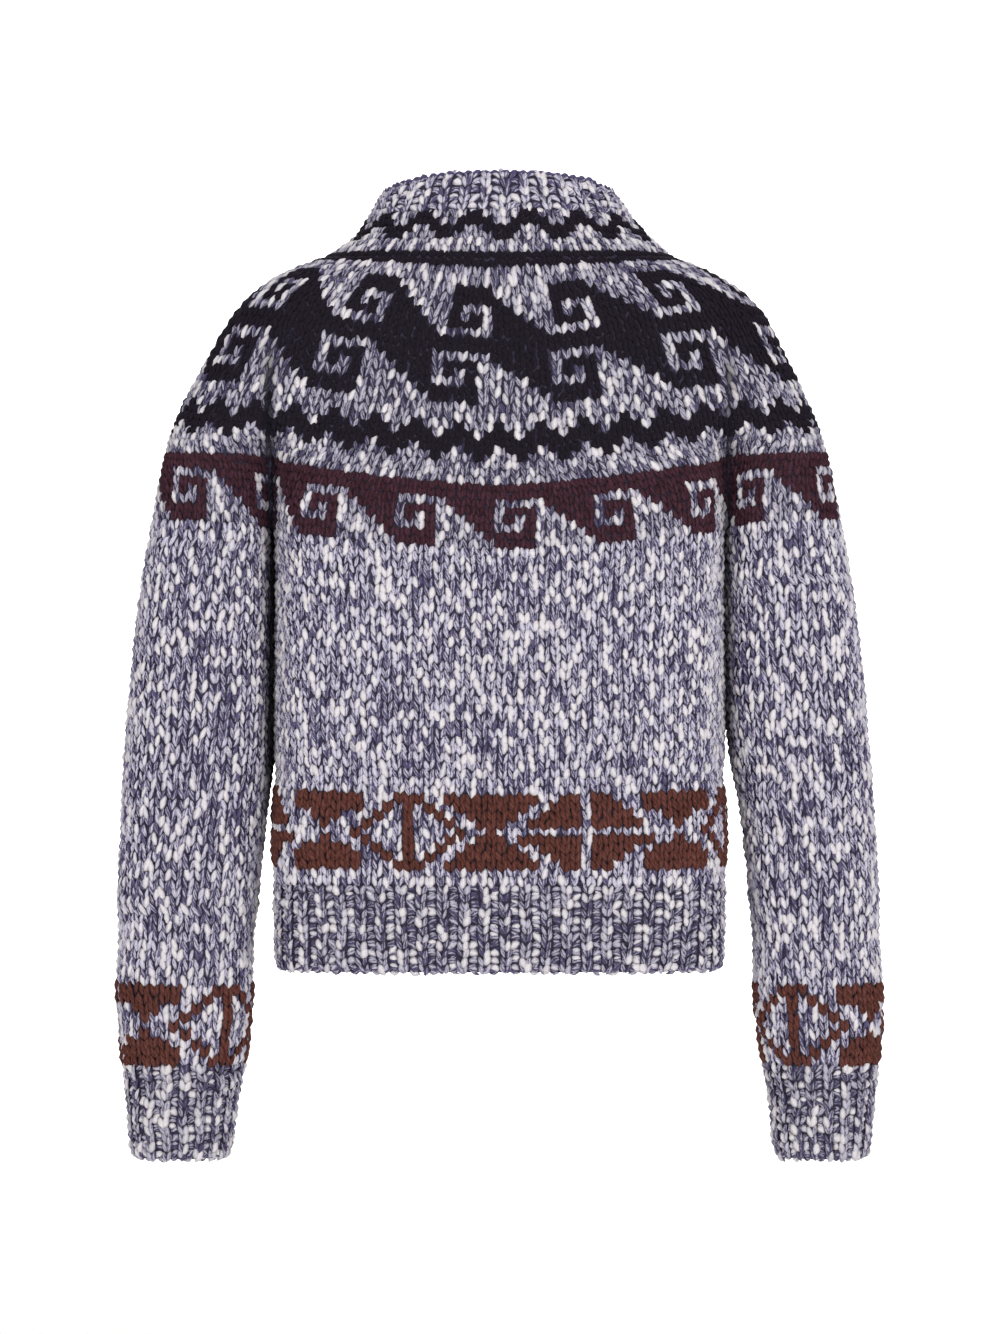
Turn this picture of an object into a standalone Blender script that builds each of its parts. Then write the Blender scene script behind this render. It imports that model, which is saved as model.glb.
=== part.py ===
"""A chunky pullover with a round patterned yoke, hollow and standing as if it were worn.

Metres, +Z up. The origin is between the shoulders, at the height of the neck's base. The garment's
back faces -Y and its front +Y, so the wearer's left sleeve lies at -X. Each knitted piece is one
closed wall: an outer surface worked out from the sizes below, and an inner one a cloth's
thickness inside it.
"""
import bpy
import numpy as np

# ---- Driving dimensions ------------------------------------------------------------------------
CLOTH = 0.0042          # thickness of the knitted cloth
SEAM_GAP = 0.0003       # the pieces stand this far apart where they are joined
RIB_RISE = 0.0018       # how far a rib stands out of the furrow beside it
HEM_RIBS = 60
CUFF_RIBS = 20
COLLAR_RIBS = 36
POINTS_A_RIB = 4

TORSO_POWER = 4.0       # 2 is an ellipse, and more is a flatter back and front
SLEEVE_POWER = 2.6
COLLAR_POWER = 2.1
YOKE_EDGE = -0.2090     # the sections' height where body and sleeves meet the yoke
BODY_EDGE = -0.4680     # where the body meets the hem's rib
HEM_EDGE = -0.5330      # lower edge of the hem's rib
WRIST = -0.6000         # where a sleeve meets its cuff
CUFF_EDGE = -0.6700     # lower edge of a cuff
RIB_TUCK = 0.0024       # how far a rib's last rounds draw in
FOLD_LIP = 0.0040       # the fold's two sides start this far before its bottom
YOKE_LIFT = 1.4         # the power of a sine by which a round climbs to the side
COLLAR_LIFT = 3.0       # the same on the collar, whose upper edge is flatter at the back

TORSO_STEPS = 11        # points along a quarter ring: the centre to the fold beside the sleeve
ARM_STEPS = 9           # the fold to the sleeve's outer side
UNDERARM_STEPS = 2      # the fold to the middle of the underarm
YOKE_ROUNDS = 12
BODY_ROUNDS = 7
SLEEVE_ROUNDS = 11
RIB_ROUNDS = (0.0, 0.07, 0.2, 0.55, 1.0)    # rounds of a rib, as shares from its free edge
RIB_TUCKS = (1.0, 0.3, 0.0, 0.0, 0.0)       # and how much of the tuck each has

QUARTERS = (("right", "back"), ("right", "front"), ("left", "front"), ("left", "back"))

# ---- Tables: a row for each section, read on a smooth curve through the rows -------------------
TORSO_COLUMNS = ("height", "half_width", "back", "front")
TORSO = (
    (-0.5330, 0.1600, 0.0800, 0.0850),
    (-0.4680, 0.1605, 0.0830, 0.0890),
    (-0.4000, 0.1605, 0.0850, 0.0920),
    (-0.3000, 0.1600, 0.0870, 0.0955),
    (-0.2380, 0.1603, 0.0880, 0.0965),
    (-0.2090, 0.1616, 0.0880, 0.0965),
)
SLEEVE_COLUMNS = ("height", "left_outer", "left_inner", "right_outer", "right_inner",
                  "half_depth", "forward")
SLEEVE = (
    (-0.6700, 0.2675, 0.1955, 0.2685, 0.2000, 0.0350, 0.0300),
    (-0.6260, 0.2705, 0.1897, 0.2718, 0.1955, 0.0375, 0.0270),
    (-0.6000, 0.2730, 0.1845, 0.2745, 0.1910, 0.0415, 0.0240),
    (-0.5260, 0.2765, 0.1785, 0.2760, 0.1835, 0.0455, 0.0160),
    (-0.4100, 0.2720, 0.1682, 0.2692, 0.1742, 0.0485, 0.0050),
    (-0.3750, 0.2700, 0.1640, 0.2665, 0.1675, 0.0490, 0.0025),
    (-0.3240, 0.2655, 0.1624, 0.2622, 0.1630, 0.0500, 0.0000),
    (-0.2400, 0.2552, 0.1618, 0.2510, 0.1618, 0.0510, 0.0000),
    (-0.2090, 0.2495, 0.1622, 0.2451, 0.1622, 0.0510, 0.0000),
)
YOKE_COLUMNS = ("rise", "left", "right", "back", "front", "arm", "fold", "fold_place",
                "smooth", "power", "side_height", "back_height", "front_drop")
YOKE = (
    (0.000, 0.2495, 0.2451, 0.0880, 0.0965, 0.0510, 0.0200, 0.1619,
     0.00, 3.2, -0.2090, -0.2315, -0.0130),
    (0.157, 0.2410, 0.2362, 0.0890, 0.0955, 0.0560, 0.0280, 0.1625,
     0.10, 3.0, -0.1660, -0.1942, -0.0160),
    (0.321, 0.2268, 0.2215, 0.0890, 0.0935, 0.0620, 0.0450, 0.1625,
     0.85, 2.7, -0.1220, -0.1552, -0.0190),
    (0.493, 0.2020, 0.1995, 0.0885, 0.0910, 0.0680, 0.0600, 0.1540,
     1.00, 2.5, -0.0792, -0.1144, -0.0220),
    (0.618, 0.1815, 0.1815, 0.0875, 0.0885, 0.0700, 0.0650, 0.1370,
     1.00, 2.4, -0.0504, -0.0847, -0.0240),
    (0.725, 0.1582, 0.1550, 0.0860, 0.0860, 0.0700, 0.0650, 0.1160,
     1.00, 2.3, -0.0338, -0.0592, -0.0260),
    (0.818, 0.1335, 0.1318, 0.0845, 0.0825, 0.0700, 0.0650, 0.0960,
     1.00, 2.2, -0.0223, -0.0371, -0.0280),
    (0.907, 0.1088, 0.1125, 0.0820, 0.0785, 0.0700, 0.0650, 0.0800,
     1.00, 2.1, -0.0096, -0.0160, -0.0300),
    (1.000, 0.0946, 0.0960, 0.0775, 0.0730, 0.0700, 0.0650, 0.0670,
     1.00, 2.1, 0.0075, 0.0075, -0.0310),
)
COLLAR_COLUMNS = ("rise", "left", "right", "back", "front",
                  "side_height", "back_height", "front_drop")
COLLAR = (
    (0.00, 0.0946, 0.0960, 0.0775, 0.0730, 0.0075, 0.0075, -0.0310),
    (0.50, 0.0895, 0.0895, 0.0715, 0.0680, 0.0180, 0.0215, -0.0330),
    (1.00, 0.0825, 0.0815, 0.0640, 0.0620, 0.0280, 0.0362, -0.0350),
)

# ---- Colours and finish ------------------------------------------------------------------------
MARL = (0.27, 0.25, 0.32, 1.0)              # dark blue and pale yarns twisted together
PATTERNED_MARL = (0.13, 0.11, 0.16, 1.0)    # the same, darkened by the yoke's bands
WOOL_ROUGHNESS = 0.9
SMOOTH_ANGLE = 1.0                          # radians: the edges sharper than this stay sharp


# ---- Curves ------------------------------------------------------------------------------------
def read(table, columns, name, place):
    """A column's value at a place along the table: cubic pieces that pass through each row, with
    each row's slope taken from the rows beside it."""
    rows = np.array(table)
    places, values = rows[:, 0], rows[:, columns.index(name)]
    slopes = np.gradient(values, places)
    place = float(np.clip(place, places[0], places[-1]))
    low = int(np.clip(np.searchsorted(places, place) - 1, 0, len(places) - 2))
    span = places[low + 1] - places[low]
    t = (place - places[low]) / span
    through = values[low] * (2 * t**3 - 3 * t**2 + 1) + values[low + 1] * (3 * t**2 - 2 * t**3)
    lean = slopes[low] * (t**3 - 2 * t**2 + t) + slopes[low + 1] * (t**3 - t**2)
    return float(through + span * lean)


def flattened_arc(half_width, depth, power, start, end, points=240):
    """Points of a flattened ring between two angles, in plan. Angle 0 looks back (-Y), a quarter
    turn looks along +X, and the radius is a superellipse's."""
    angle = np.linspace(start, end, points)
    across, along = np.sin(angle), np.cos(angle)
    radius = (np.abs(across / half_width)**power + np.abs(along / depth)**power)**(-1 / power)
    return np.column_stack([radius * across, -radius * along])


def shares_of(points):
    """Each point's share of the line's length, from 0 to 1."""
    steps = np.linalg.norm(np.diff(points, axis=0), axis=1)
    return np.concatenate([[0.0], np.cumsum(steps)]) / steps.sum()


def spread(points, shares):
    """Points at these shares of a line's length."""
    along = shares_of(points)
    return np.column_stack([np.interp(shares, along, column) for column in points.T])


def cut(points, measure, value):
    """A line's stretches before and after the first place where a measure of it passes a value."""
    after = int(np.argmax(measure > value))
    share = (value - measure[after - 1]) / (measure[after] - measure[after - 1])
    place = points[after - 1] + (points[after] - points[after - 1]) * share
    return np.vstack([points[:after], place]), np.vstack([place, points[after:]])


def closer_at_the_end(steps):
    """Shares from 0 to 1 whose steps shorten towards the end."""
    t = np.linspace(0, 1, steps + 1)
    return t + 0.12 * np.sin(np.pi * t)


TORSO_SHARES = closer_at_the_end(TORSO_STEPS)
ARM_SHARES = np.linspace(0, 1, ARM_STEPS + 1)
UNDERARM_SHARES = np.linspace(0, 1, UNDERARM_STEPS + 1)
FOLD_POINT = TORSO_STEPS + 1                # the fold's bottom among a yoke quarter's points
FOLD = YOKE[0][YOKE_COLUMNS.index("fold")]  # how far the fold's bottom is from the underarm's middle


# ---- Quarter rings, all given as if they were the right back one -------------------------------
def torso_plan(face, height):
    """The torso's quarter ring in plan at a height: a stretch from the centre to the fold's lip,
    and one from the fold's bottom to the middle of the underarm."""
    half_width = read(TORSO, TORSO_COLUMNS, "half_width", height)
    depth = read(TORSO, TORSO_COLUMNS, face, height)
    return torso_stretches(half_width, depth, FOLD)


def torso_stretches(half_width, depth, fold):
    """A torso's flattened quarter ring, cut at the fold."""
    ring = flattened_arc(half_width, depth, TORSO_POWER, 0, np.pi / 2)
    torso = cut(ring, ring[:, 1], -fold - FOLD_LIP)[0]
    underarm = cut(ring, ring[:, 1], -fold)[1]
    return spread(torso, TORSO_SHARES), spread(underarm, UNDERARM_SHARES)


def sleeve_plan(side, height):
    """Half a sleeve's ring in plan at a height, from the underarm's middle to the outer side."""
    size = {name: read(SLEEVE, SLEEVE_COLUMNS, name, height) for name in SLEEVE_COLUMNS}
    return sleeve_stretches(size[side + "_outer"], size[side + "_inner"], size["half_depth"], FOLD)


def sleeve_stretches(outer, inner, half_depth, fold):
    """Half a sleeve's flattened ring, cut at the fold: from the middle of the underarm to the
    fold's bottom, and from the fold's lip round to the sleeve's outer side."""
    ring = flattened_arc((outer - inner) / 2, half_depth, SLEEVE_POWER, -np.pi / 2, np.pi / 2)
    ring = ring + ((outer + inner) / 2, 0)
    underarm = cut(ring, -ring[:, 1], fold)[0]
    arm = cut(ring, -ring[:, 1], fold + FOLD_LIP)[1]
    return spread(underarm, UNDERARM_SHARES), spread(arm, ARM_SHARES)


def smooth_plan(half_width, depth, power, fold_place):
    """A plain flattened quarter ring in plan, with as many points to each side of the fold's
    place as the folded one has."""
    ring = flattened_arc(half_width, depth, power, 0, np.pi / 2)
    torso = cut(ring, ring[:, 0], fold_place - FOLD_LIP)[0]
    bottom = cut(ring, ring[:, 0], fold_place)[1][0]
    arm = cut(ring, ring[:, 0], fold_place + FOLD_LIP)[1]
    return np.vstack([spread(torso, TORSO_SHARES), bottom, spread(arm, ARM_SHARES)])


def climb(plan, size, power, drop, reach):
    """Gives a quarter ring its heights: from the centre's to the side's along a power of a sine,
    and a drop at the centre that fades out as a squared cosine at this share of the ring."""
    share = shares_of(plan)
    lift = np.sin(np.pi / 2 * share)**power
    fade = np.cos(np.pi / 2 * np.minimum(share / reach, 1))**2
    height = size["back_height"] + (size["side_height"] - size["back_height"]) * lift
    return np.column_stack([plan, height + drop * fade])


def yoke_quarter(side, face, rise):
    """A quarter of the yoke's round. Low down it is the torso's ring and the sleeve's ring with a
    fold between them, and higher up it turns into one smooth ring."""
    size = {name: read(YOKE, YOKE_COLUMNS, name, rise) for name in YOKE_COLUMNS}
    place, fold = size["fold_place"], size["fold"]
    torso = torso_stretches(place - SEAM_GAP, size[face], fold)[0]
    arm = sleeve_stretches(size[side], place + SEAM_GAP, size["arm"], fold)[1]
    folded = np.vstack([torso, (place, -fold), arm])
    plain = smooth_plan(size[side], size[face], size["power"], place)
    plan = folded + (plain - folded) * size["smooth"]
    fold_share = shares_of(plan)[FOLD_POINT]
    reach = fold_share + (1 - fold_share) * size["smooth"]
    return climb(plan, size, YOKE_LIFT, size["front_drop"] if face == "front" else 0.0, reach)


def body_quarter(side, face, level):
    """A quarter of the body's round: the torso's stretch, and the underarm's at the height of the
    fold's bottom."""
    edge = yoke_quarter(side, face, 0)[:, 2]
    underarm = np.full(UNDERARM_STEPS + 1, edge[FOLD_POINT])
    top = np.concatenate([edge[:FOLD_POINT], underarm]) - SEAM_GAP
    low = BODY_EDGE + SEAM_GAP
    plan = np.vstack(torso_plan(face, BODY_EDGE + (YOKE_EDGE - BODY_EDGE) * level))
    return np.column_stack([plan, low + (top - low) * level])


def hem_quarter(side, face, level):
    """A quarter of the hem's round, from its lower edge to the body. Both sides are alike."""
    low, high = HEM_EDGE, BODY_EDGE - SEAM_GAP
    height = low + (high - low) * level
    plan = np.vstack(torso_plan(face, height))
    return np.column_stack([plan, np.full(len(plan), height)])


def collar_quarter(side, face, level):
    """A quarter of the collar's round, from the yoke to its free edge."""
    size = {name: read(COLLAR, COLLAR_COLUMNS, name, level) for name in COLLAR_COLUMNS}
    plan = flattened_arc(size[side], size[face], COLLAR_POWER, 0, np.pi / 2)
    ring = climb(plan, size, COLLAR_LIFT, size["front_drop"] if face == "front" else 0.0, 1.0)
    return ring + (0, 0, SEAM_GAP)


def sleeve_half(side, level):
    """Half a sleeve's round: the underarm's stretch, then the arm's."""
    edge = yoke_quarter(side, "back", 0)[:, 2]
    underarm = np.full(UNDERARM_STEPS + 1, edge[FOLD_POINT])
    top = np.concatenate([underarm, edge[FOLD_POINT + 1:]]) - SEAM_GAP
    low = WRIST + SEAM_GAP
    plan = np.vstack(sleeve_plan(side, WRIST + (YOKE_EDGE - WRIST) * level))
    return np.column_stack([plan, low + (top - low) * level])


def cuff_half(side, level):
    """Half a cuff's round, from its lower edge to the sleeve."""
    low, high = CUFF_EDGE, WRIST - SEAM_GAP
    height = low + (high - low) * level
    plan = np.vstack(sleeve_plan(side, height))
    return np.column_stack([plan, np.full(len(plan), height)])


# ---- Whole rounds, counter-clockwise from above ------------------------------------------------
def torso_round(quarter, level):
    """A closed round from the centre back, made of a function's four quarters."""
    stretches = []
    for side, face in QUARTERS:
        turned = (1 if side == "right" else -1, 1 if face == "back" else -1, 1)
        points = quarter(side, face, level) * turned
        outwards = (side == "right") == (face == "back")
        stretches.append(points[:-1] if outwards else points[:0:-1])
    return np.vstack(stretches)


def sleeve_round(half, side, level, section):
    """A closed round of a sleeve from a function's half, moved forward as its section says."""
    points = half(side, level)
    points = np.vstack([points[:-1], points[:0:-1] * (1, -1, 1)])
    points[:, 1] += read(SLEEVE, SLEEVE_COLUMNS, "forward", section)
    return points if side == "right" else points[::-1] * (-1, 1, 1)


def even_round(ring, count):
    """Evenly spaced points on a closed round."""
    return spread(np.vstack([ring, ring[:1]]), np.arange(count) / count)


def level_normals(ring):
    """Outward normals of a closed counter-clockwise round, seen in plan."""
    along = np.roll(ring, -1, axis=0) - np.roll(ring, 1, axis=0)
    normals = np.column_stack([along[:, 1], -along[:, 0], np.zeros(len(ring))])
    return normals / np.linalg.norm(normals, axis=1, keepdims=True)


def inner_surface(outer):
    """The outer surface moved in by the cloth's thickness, along the surface's normals, and along
    level ones on the first and last rounds, where the pieces meet."""
    around = np.roll(outer, -1, axis=1) - np.roll(outer, 1, axis=1)
    normals = np.cross(around, np.gradient(outer, axis=0))
    normals /= np.linalg.norm(normals, axis=2, keepdims=True)
    for edge in (0, -1):
        normals[edge] = level_normals(outer[edge])
    return outer - CLOTH * normals


# ---- Pieces ------------------------------------------------------------------------------------
def wool(name, colour):
    """A matt knitted finish of one colour."""
    material = bpy.data.materials.new(name)
    material.use_nodes = True
    shader = material.node_tree.nodes["Principled BSDF"]
    shader.inputs["Base Color"].default_value = colour
    shader.inputs["Roughness"].default_value = WOOL_ROUGHNESS
    shader.inputs["Metallic"].default_value = 0.0
    return material


def wall(name, outer, inner, colour):
    """One closed wall from two stacks of rounds, lowest first, with equally many points a round:
    up the outer surface, across the upper edge, down the inner one and across the lower edge."""
    columns = len(outer[0])
    starts = np.arange(len(outer) + len(inner)) * columns
    order = np.concatenate([starts[:len(outer)], starts[len(outer):][::-1], starts[:1]])
    here = np.arange(columns)
    after = (here + 1) % columns
    faces = [np.column_stack([low + here, low + after, high + after, high + here])
             for low, high in zip(order, order[1:])]
    mesh = bpy.data.meshes.new(name)
    mesh.from_pydata(np.vstack([*outer, *inner]).tolist(), [], np.vstack(faces).tolist())
    mesh.materials.append(wool(name, colour))
    mesh.shade_smooth()
    mesh.set_sharp_from_angle(angle=SMOOTH_ANGLE)
    piece = bpy.data.objects.new(name, mesh)
    bpy.context.scene.collection.objects.link(piece)


def plain_wall(name, rounds, colour):
    """A plain tube of cloth from its outer rounds."""
    outer = np.array(rounds)
    wall(name, outer, inner_surface(outer), colour)


def ribbed_wall(name, round_at, ribs, free_edge):
    """A ribbed tube between levels 0 and 1 of a function's rounds. A cosine wave raises the ribs
    in its outer points over a plain inside with half the rounds, and the rounds at the free edge
    are drawn in."""
    count = ribs * POINTS_A_RIB
    wave = RIB_RISE / 2 * np.cos(2 * np.pi * np.arange(count) / POINTS_A_RIB)
    outer, inner = [], []
    for share, tuck in zip(RIB_ROUNDS, RIB_TUCKS):
        ring = even_round(round_at(abs(free_edge - share)), count)
        normals = level_normals(ring)
        outer.append(ring + normals * (wave - RIB_TUCK * tuck)[:, None])
        inner.append(ring - normals * (CLOTH + RIB_TUCK * tuck))
    order = slice(None, None, -1 if free_edge == 1 else 1)
    wall(name, outer[order], inner[::2][order], MARL)


def sleeve_and_cuff(side):
    """A sleeve's tube, from the yoke to the wrist, and the ribbed cuff below it."""
    levels = np.linspace(0, 1, SLEEVE_ROUNDS + 1)
    plain_wall("sleeve_" + side,
               [sleeve_round(sleeve_half, side, level, WRIST + (YOKE_EDGE - WRIST) * level)
                for level in levels], MARL)
    ribbed_wall("cuff_" + side,
                lambda level: sleeve_round(cuff_half, side, level,
                                           CUFF_EDGE + (WRIST - CUFF_EDGE) * level),
                CUFF_RIBS, 0)


def main():
    """Clears the scene and builds every piece."""
    for existing in list(bpy.data.objects):
        bpy.data.objects.remove(existing, do_unlink=True)
    plain_wall("yoke", [torso_round(yoke_quarter, rise)
                        for rise in np.linspace(0, 1, YOKE_ROUNDS + 1)], PATTERNED_MARL)
    plain_wall("body", [torso_round(body_quarter, level)
                        for level in np.linspace(0, 1, BODY_ROUNDS + 1)], MARL)
    ribbed_wall("hem_rib", lambda level: torso_round(hem_quarter, level), HEM_RIBS, 0)
    ribbed_wall("collar", lambda level: torso_round(collar_quarter, level), COLLAR_RIBS, 1)
    for side in ("left", "right"):
        sleeve_and_cuff(side)


main()
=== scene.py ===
"""A chunky pullover with a round patterned yoke, knitted stitch by stitch around its solids.

Metres, +Z up. The garment's back faces -Y, and the wearer's left sleeve lies at -X. Each knitted
piece is a thin closed shell of cloth, worked out from much the same sections as its solid, with
two short strands of yarn on it for each stitch. The charts say which yarn each stitch has.
"""
import bpy
import numpy as np
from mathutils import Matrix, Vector


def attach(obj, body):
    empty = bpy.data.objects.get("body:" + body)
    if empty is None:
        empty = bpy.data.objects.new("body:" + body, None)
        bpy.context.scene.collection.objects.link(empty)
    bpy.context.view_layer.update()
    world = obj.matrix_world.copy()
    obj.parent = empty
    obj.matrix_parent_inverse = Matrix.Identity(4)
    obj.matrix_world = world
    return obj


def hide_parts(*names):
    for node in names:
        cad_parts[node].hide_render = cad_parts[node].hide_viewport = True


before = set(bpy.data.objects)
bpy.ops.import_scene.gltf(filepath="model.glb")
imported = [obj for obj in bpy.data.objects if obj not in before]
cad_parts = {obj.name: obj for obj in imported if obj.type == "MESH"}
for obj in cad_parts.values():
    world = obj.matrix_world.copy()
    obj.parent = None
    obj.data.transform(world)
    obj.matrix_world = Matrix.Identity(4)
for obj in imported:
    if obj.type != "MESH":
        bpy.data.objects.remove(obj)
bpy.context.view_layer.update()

bl_info = {
    "name": "Round-yoke pullover",
    "version": (1, 0, 0),
    "blender": (4, 5, 0),
    "location": "View3D > Sidebar > Pullover",
    "description": "Knits a hollow round-yoke pullover, stitch by stitch, and lights it",
    "category": "Object",
}

# ---- Sections ----------------------------------------------------------------------------------
# They are nearly the solids'. The yoke's rounds lie up to 14 mm lower and 8 mm wider at the
# shoulders, and up to 6 mm higher at the middle, so that its bands follow the photo. The hem's
# free edge is 3 mm higher, the collar's has other heights, and the rounds' climb is eased.
CLOTH = 0.0042          # thickness of the knitted cloth, stitches included
TORSO_POWER = 4.0       # 2 is an ellipse, and more is a flatter back and front
SLEEVE_POWER = 2.6
COLLAR_POWER = 2.1
BODY_EDGE = -0.4680     # where the body meets the hem's rib
HEM_EDGE = -0.5300      # lower edge of the hem's rib
WRIST = -0.6000         # where a sleeve meets its cuff
CUFF_EDGE = -0.6700     # lower edge of a cuff
FOLD_LIP = 0.0040       # the fold's two sides start this far before its bottom
YOKE_LIFT = 1.4         # the power of a sine by which a round climbs to the side
COLLAR_LIFT = 3.8       # the same on the collar, whose upper edge is flatter at the back
CLIMB_EASE = 0.06       # added to the squared sine, so a round has no corner at the centre
TORSO_STEPS = 60        # points along a quarter ring: the centre to the fold beside the sleeve
ARM_STEPS = 50          # the fold to the sleeve's outer side
UNDERARM_STEPS = 10     # the fold to the middle of the underarm
QUARTERS = (("right", "back"), ("right", "front"), ("left", "front"), ("left", "back"))

TORSO_COLUMNS = ("height", "half_width", "back", "front")
TORSO = (
    (-0.5330, 0.1600, 0.0800, 0.0850),
    (-0.4680, 0.1605, 0.0830, 0.0890),
    (-0.4000, 0.1605, 0.0850, 0.0920),
    (-0.3000, 0.1600, 0.0870, 0.0955),
    (-0.2380, 0.1603, 0.0880, 0.0965),
    (-0.2090, 0.1616, 0.0880, 0.0965),
)
SLEEVE_COLUMNS = ("height", "left_outer", "left_inner", "right_outer", "right_inner",
                  "half_depth", "forward")
SLEEVE = (
    (-0.6700, 0.2675, 0.1955, 0.2685, 0.2000, 0.0350, 0.0300),
    (-0.6260, 0.2705, 0.1897, 0.2718, 0.1955, 0.0375, 0.0270),
    (-0.6000, 0.2730, 0.1845, 0.2745, 0.1910, 0.0415, 0.0240),
    (-0.5260, 0.2765, 0.1785, 0.2760, 0.1835, 0.0455, 0.0160),
    (-0.4100, 0.2720, 0.1682, 0.2692, 0.1742, 0.0485, 0.0050),
    (-0.3750, 0.2700, 0.1640, 0.2665, 0.1675, 0.0490, 0.0025),
    (-0.3240, 0.2655, 0.1624, 0.2622, 0.1630, 0.0500, 0.0000),
    (-0.2400, 0.2552, 0.1618, 0.2510, 0.1618, 0.0510, 0.0000),
    (-0.2090, 0.2495, 0.1622, 0.2451, 0.1622, 0.0510, 0.0000),
)
YOKE_COLUMNS = ("rise", "left", "right", "back", "front", "arm", "fold", "fold_place",
                "smooth", "power", "side_height", "back_height", "front_drop")
YOKE = (
    (0.000, 0.2495, 0.2451, 0.0880, 0.0965, 0.0510, 0.0200, 0.1619,
     0.00, 3.2, -0.2090, -0.2315, -0.0130),
    (0.157, 0.2414, 0.2366, 0.0890, 0.0955, 0.0560, 0.0280, 0.1625,
     0.10, 3.0, -0.1680, -0.1942, -0.0160),
    (0.321, 0.2310, 0.2260, 0.0890, 0.0935, 0.0620, 0.0450, 0.1625,
     0.85, 2.7, -0.1350, -0.1580, -0.0190),
    (0.493, 0.2100, 0.2065, 0.0885, 0.0910, 0.0680, 0.0600, 0.1540,
     1.00, 2.5, -0.0930, -0.1150, -0.0220),
    (0.618, 0.1862, 0.1856, 0.0875, 0.0885, 0.0700, 0.0650, 0.1370,
     1.00, 2.4, -0.0570, -0.0847, -0.0240),
    (0.725, 0.1582, 0.1550, 0.0860, 0.0860, 0.0700, 0.0650, 0.1160,
     1.00, 2.3, -0.0338, -0.0592, -0.0260),
    (0.818, 0.1335, 0.1318, 0.0845, 0.0825, 0.0700, 0.0650, 0.0960,
     1.00, 2.2, -0.0223, -0.0315, -0.0280),
    (0.907, 0.1088, 0.1125, 0.0820, 0.0785, 0.0700, 0.0650, 0.0800,
     1.00, 2.1, -0.0096, -0.0135, -0.0300),
    (1.000, 0.0946, 0.0960, 0.0775, 0.0730, 0.0700, 0.0650, 0.0670,
     1.00, 2.1, 0.0075, 0.0075, -0.0310),
)
COLLAR_COLUMNS = ("rise", "left", "right", "back", "front",
                  "side_height", "back_height", "front_drop")
COLLAR = (
    (0.00, 0.0946, 0.0960, 0.0775, 0.0730, 0.0075, 0.0075, -0.0310),
    (0.50, 0.0895, 0.0895, 0.0715, 0.0680, 0.0180, 0.0215, -0.0330),
    (1.00, 0.0825, 0.0815, 0.0640, 0.0620, 0.0285, 0.0378, -0.0350),
)
FOLD = YOKE[0][YOKE_COLUMNS.index("fold")]      # from the underarm's middle to the fold's bottom
FOLD_POINT = TORSO_STEPS + 1                    # the fold's bottom among a yoke quarter's points

# ---- Charts: the top row first, X in the band's yarn and . in the ground's ---------------------
BURGUNDY_BAND = (
    "XXXXXXXXXX",
    "XXXXXXXXXX",
    ".....XXXXX",
    ".XXX..XXXX",
    ".X.X...XXX",
    "...X....XX",
    "XXXX.....X",
    "XXXX......",
)
LOW_ZIGZAG = (
    "X...",
    "XX.X",
    "XXXX",
    ".XXX",
    "..X.",
)
FRET_HALF = BURGUNDY_BAND[2:]
SOLID_LINE = ("X", "X")
HIGH_ZIGZAG = (
    "XX....",
    "XXX..X",
    "..XXXX",
    "...XX.",
)
GROUND, NAVY, BURGUNDY, BROWN = range(4)

# A band of the yoke: rows above its lower edge, stitches a round, yarn, chart, and where column
# 0's left edge is, in stitches from the centre of the back.
BAND_COLUMNS = ("bottom", "top", "stitches", "yarn", "chart", "start")
FIGURE_ROWS = 9
HOURGLASS, OUTLINE, DIAMOND, WAISTED = range(4)
# Half-widths of the brown band's figures, a column for each, row by row; -1 is an empty row. The
# outline's are the places of its single stitches, and the diamond's leave its centre column in
# the ground's yarn.
FIGURE_HALF_WIDTHS = (
    (4, 1, 2, 3),
    (3, 2, 3, 3),
    (2, 3, 4, 1),
    (1, 4, 5, 0),
    (0, 5, 0, -1),
    (1, 4, 6, 0),
    (2, 3, 4, 2),
    (3, 2, 3, 3),
    (4, 1, 2, 3),
)
# The body's figures round from the left of the back, as stitches from the back's centre column.
BODY_FIGURES = ((-26, DIAMOND), (-16, WAISTED), (-8, OUTLINE), (0, HOURGLASS), (9, DIAMOND),
                (18, WAISTED), (26, OUTLINE), (34, HOURGLASS), (43, DIAMOND), (52, HOURGLASS),
                (60, OUTLINE), (68, HOURGLASS), (77, DIAMOND), (86, HOURGLASS))
SLEEVE_FIGURES = ((0, OUTLINE), (8, WAISTED), (16, OUTLINE), (24, WAISTED), (32, WAISTED))
PLAIN_ROWS = 2          # the body's rows below its figures
# Where a round's first stitch starts, in stitches from the middle of that round's back.
BODY_START = -1.22
SLEEVE_STARTS = {"left": 4.0, "right": -3.5}


# ---- Settings ----------------------------------------------------------------------------------
def length(name, default, description):
    """A size in metres."""
    return bpy.props.FloatProperty(name=name, default=default, description=description,
                                   unit="LENGTH", subtype="DISTANCE", precision=5)


def colour(name, default, description):
    """A linear RGB colour."""
    return bpy.props.FloatVectorProperty(name=name, default=default, description=description,
                                         subtype="COLOR", size=3, min=0.0, max=1.0)


def count(name, default, description):
    """A number of stitches or rows."""
    return bpy.props.IntProperty(name=name, default=default, description=description, min=1)


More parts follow.
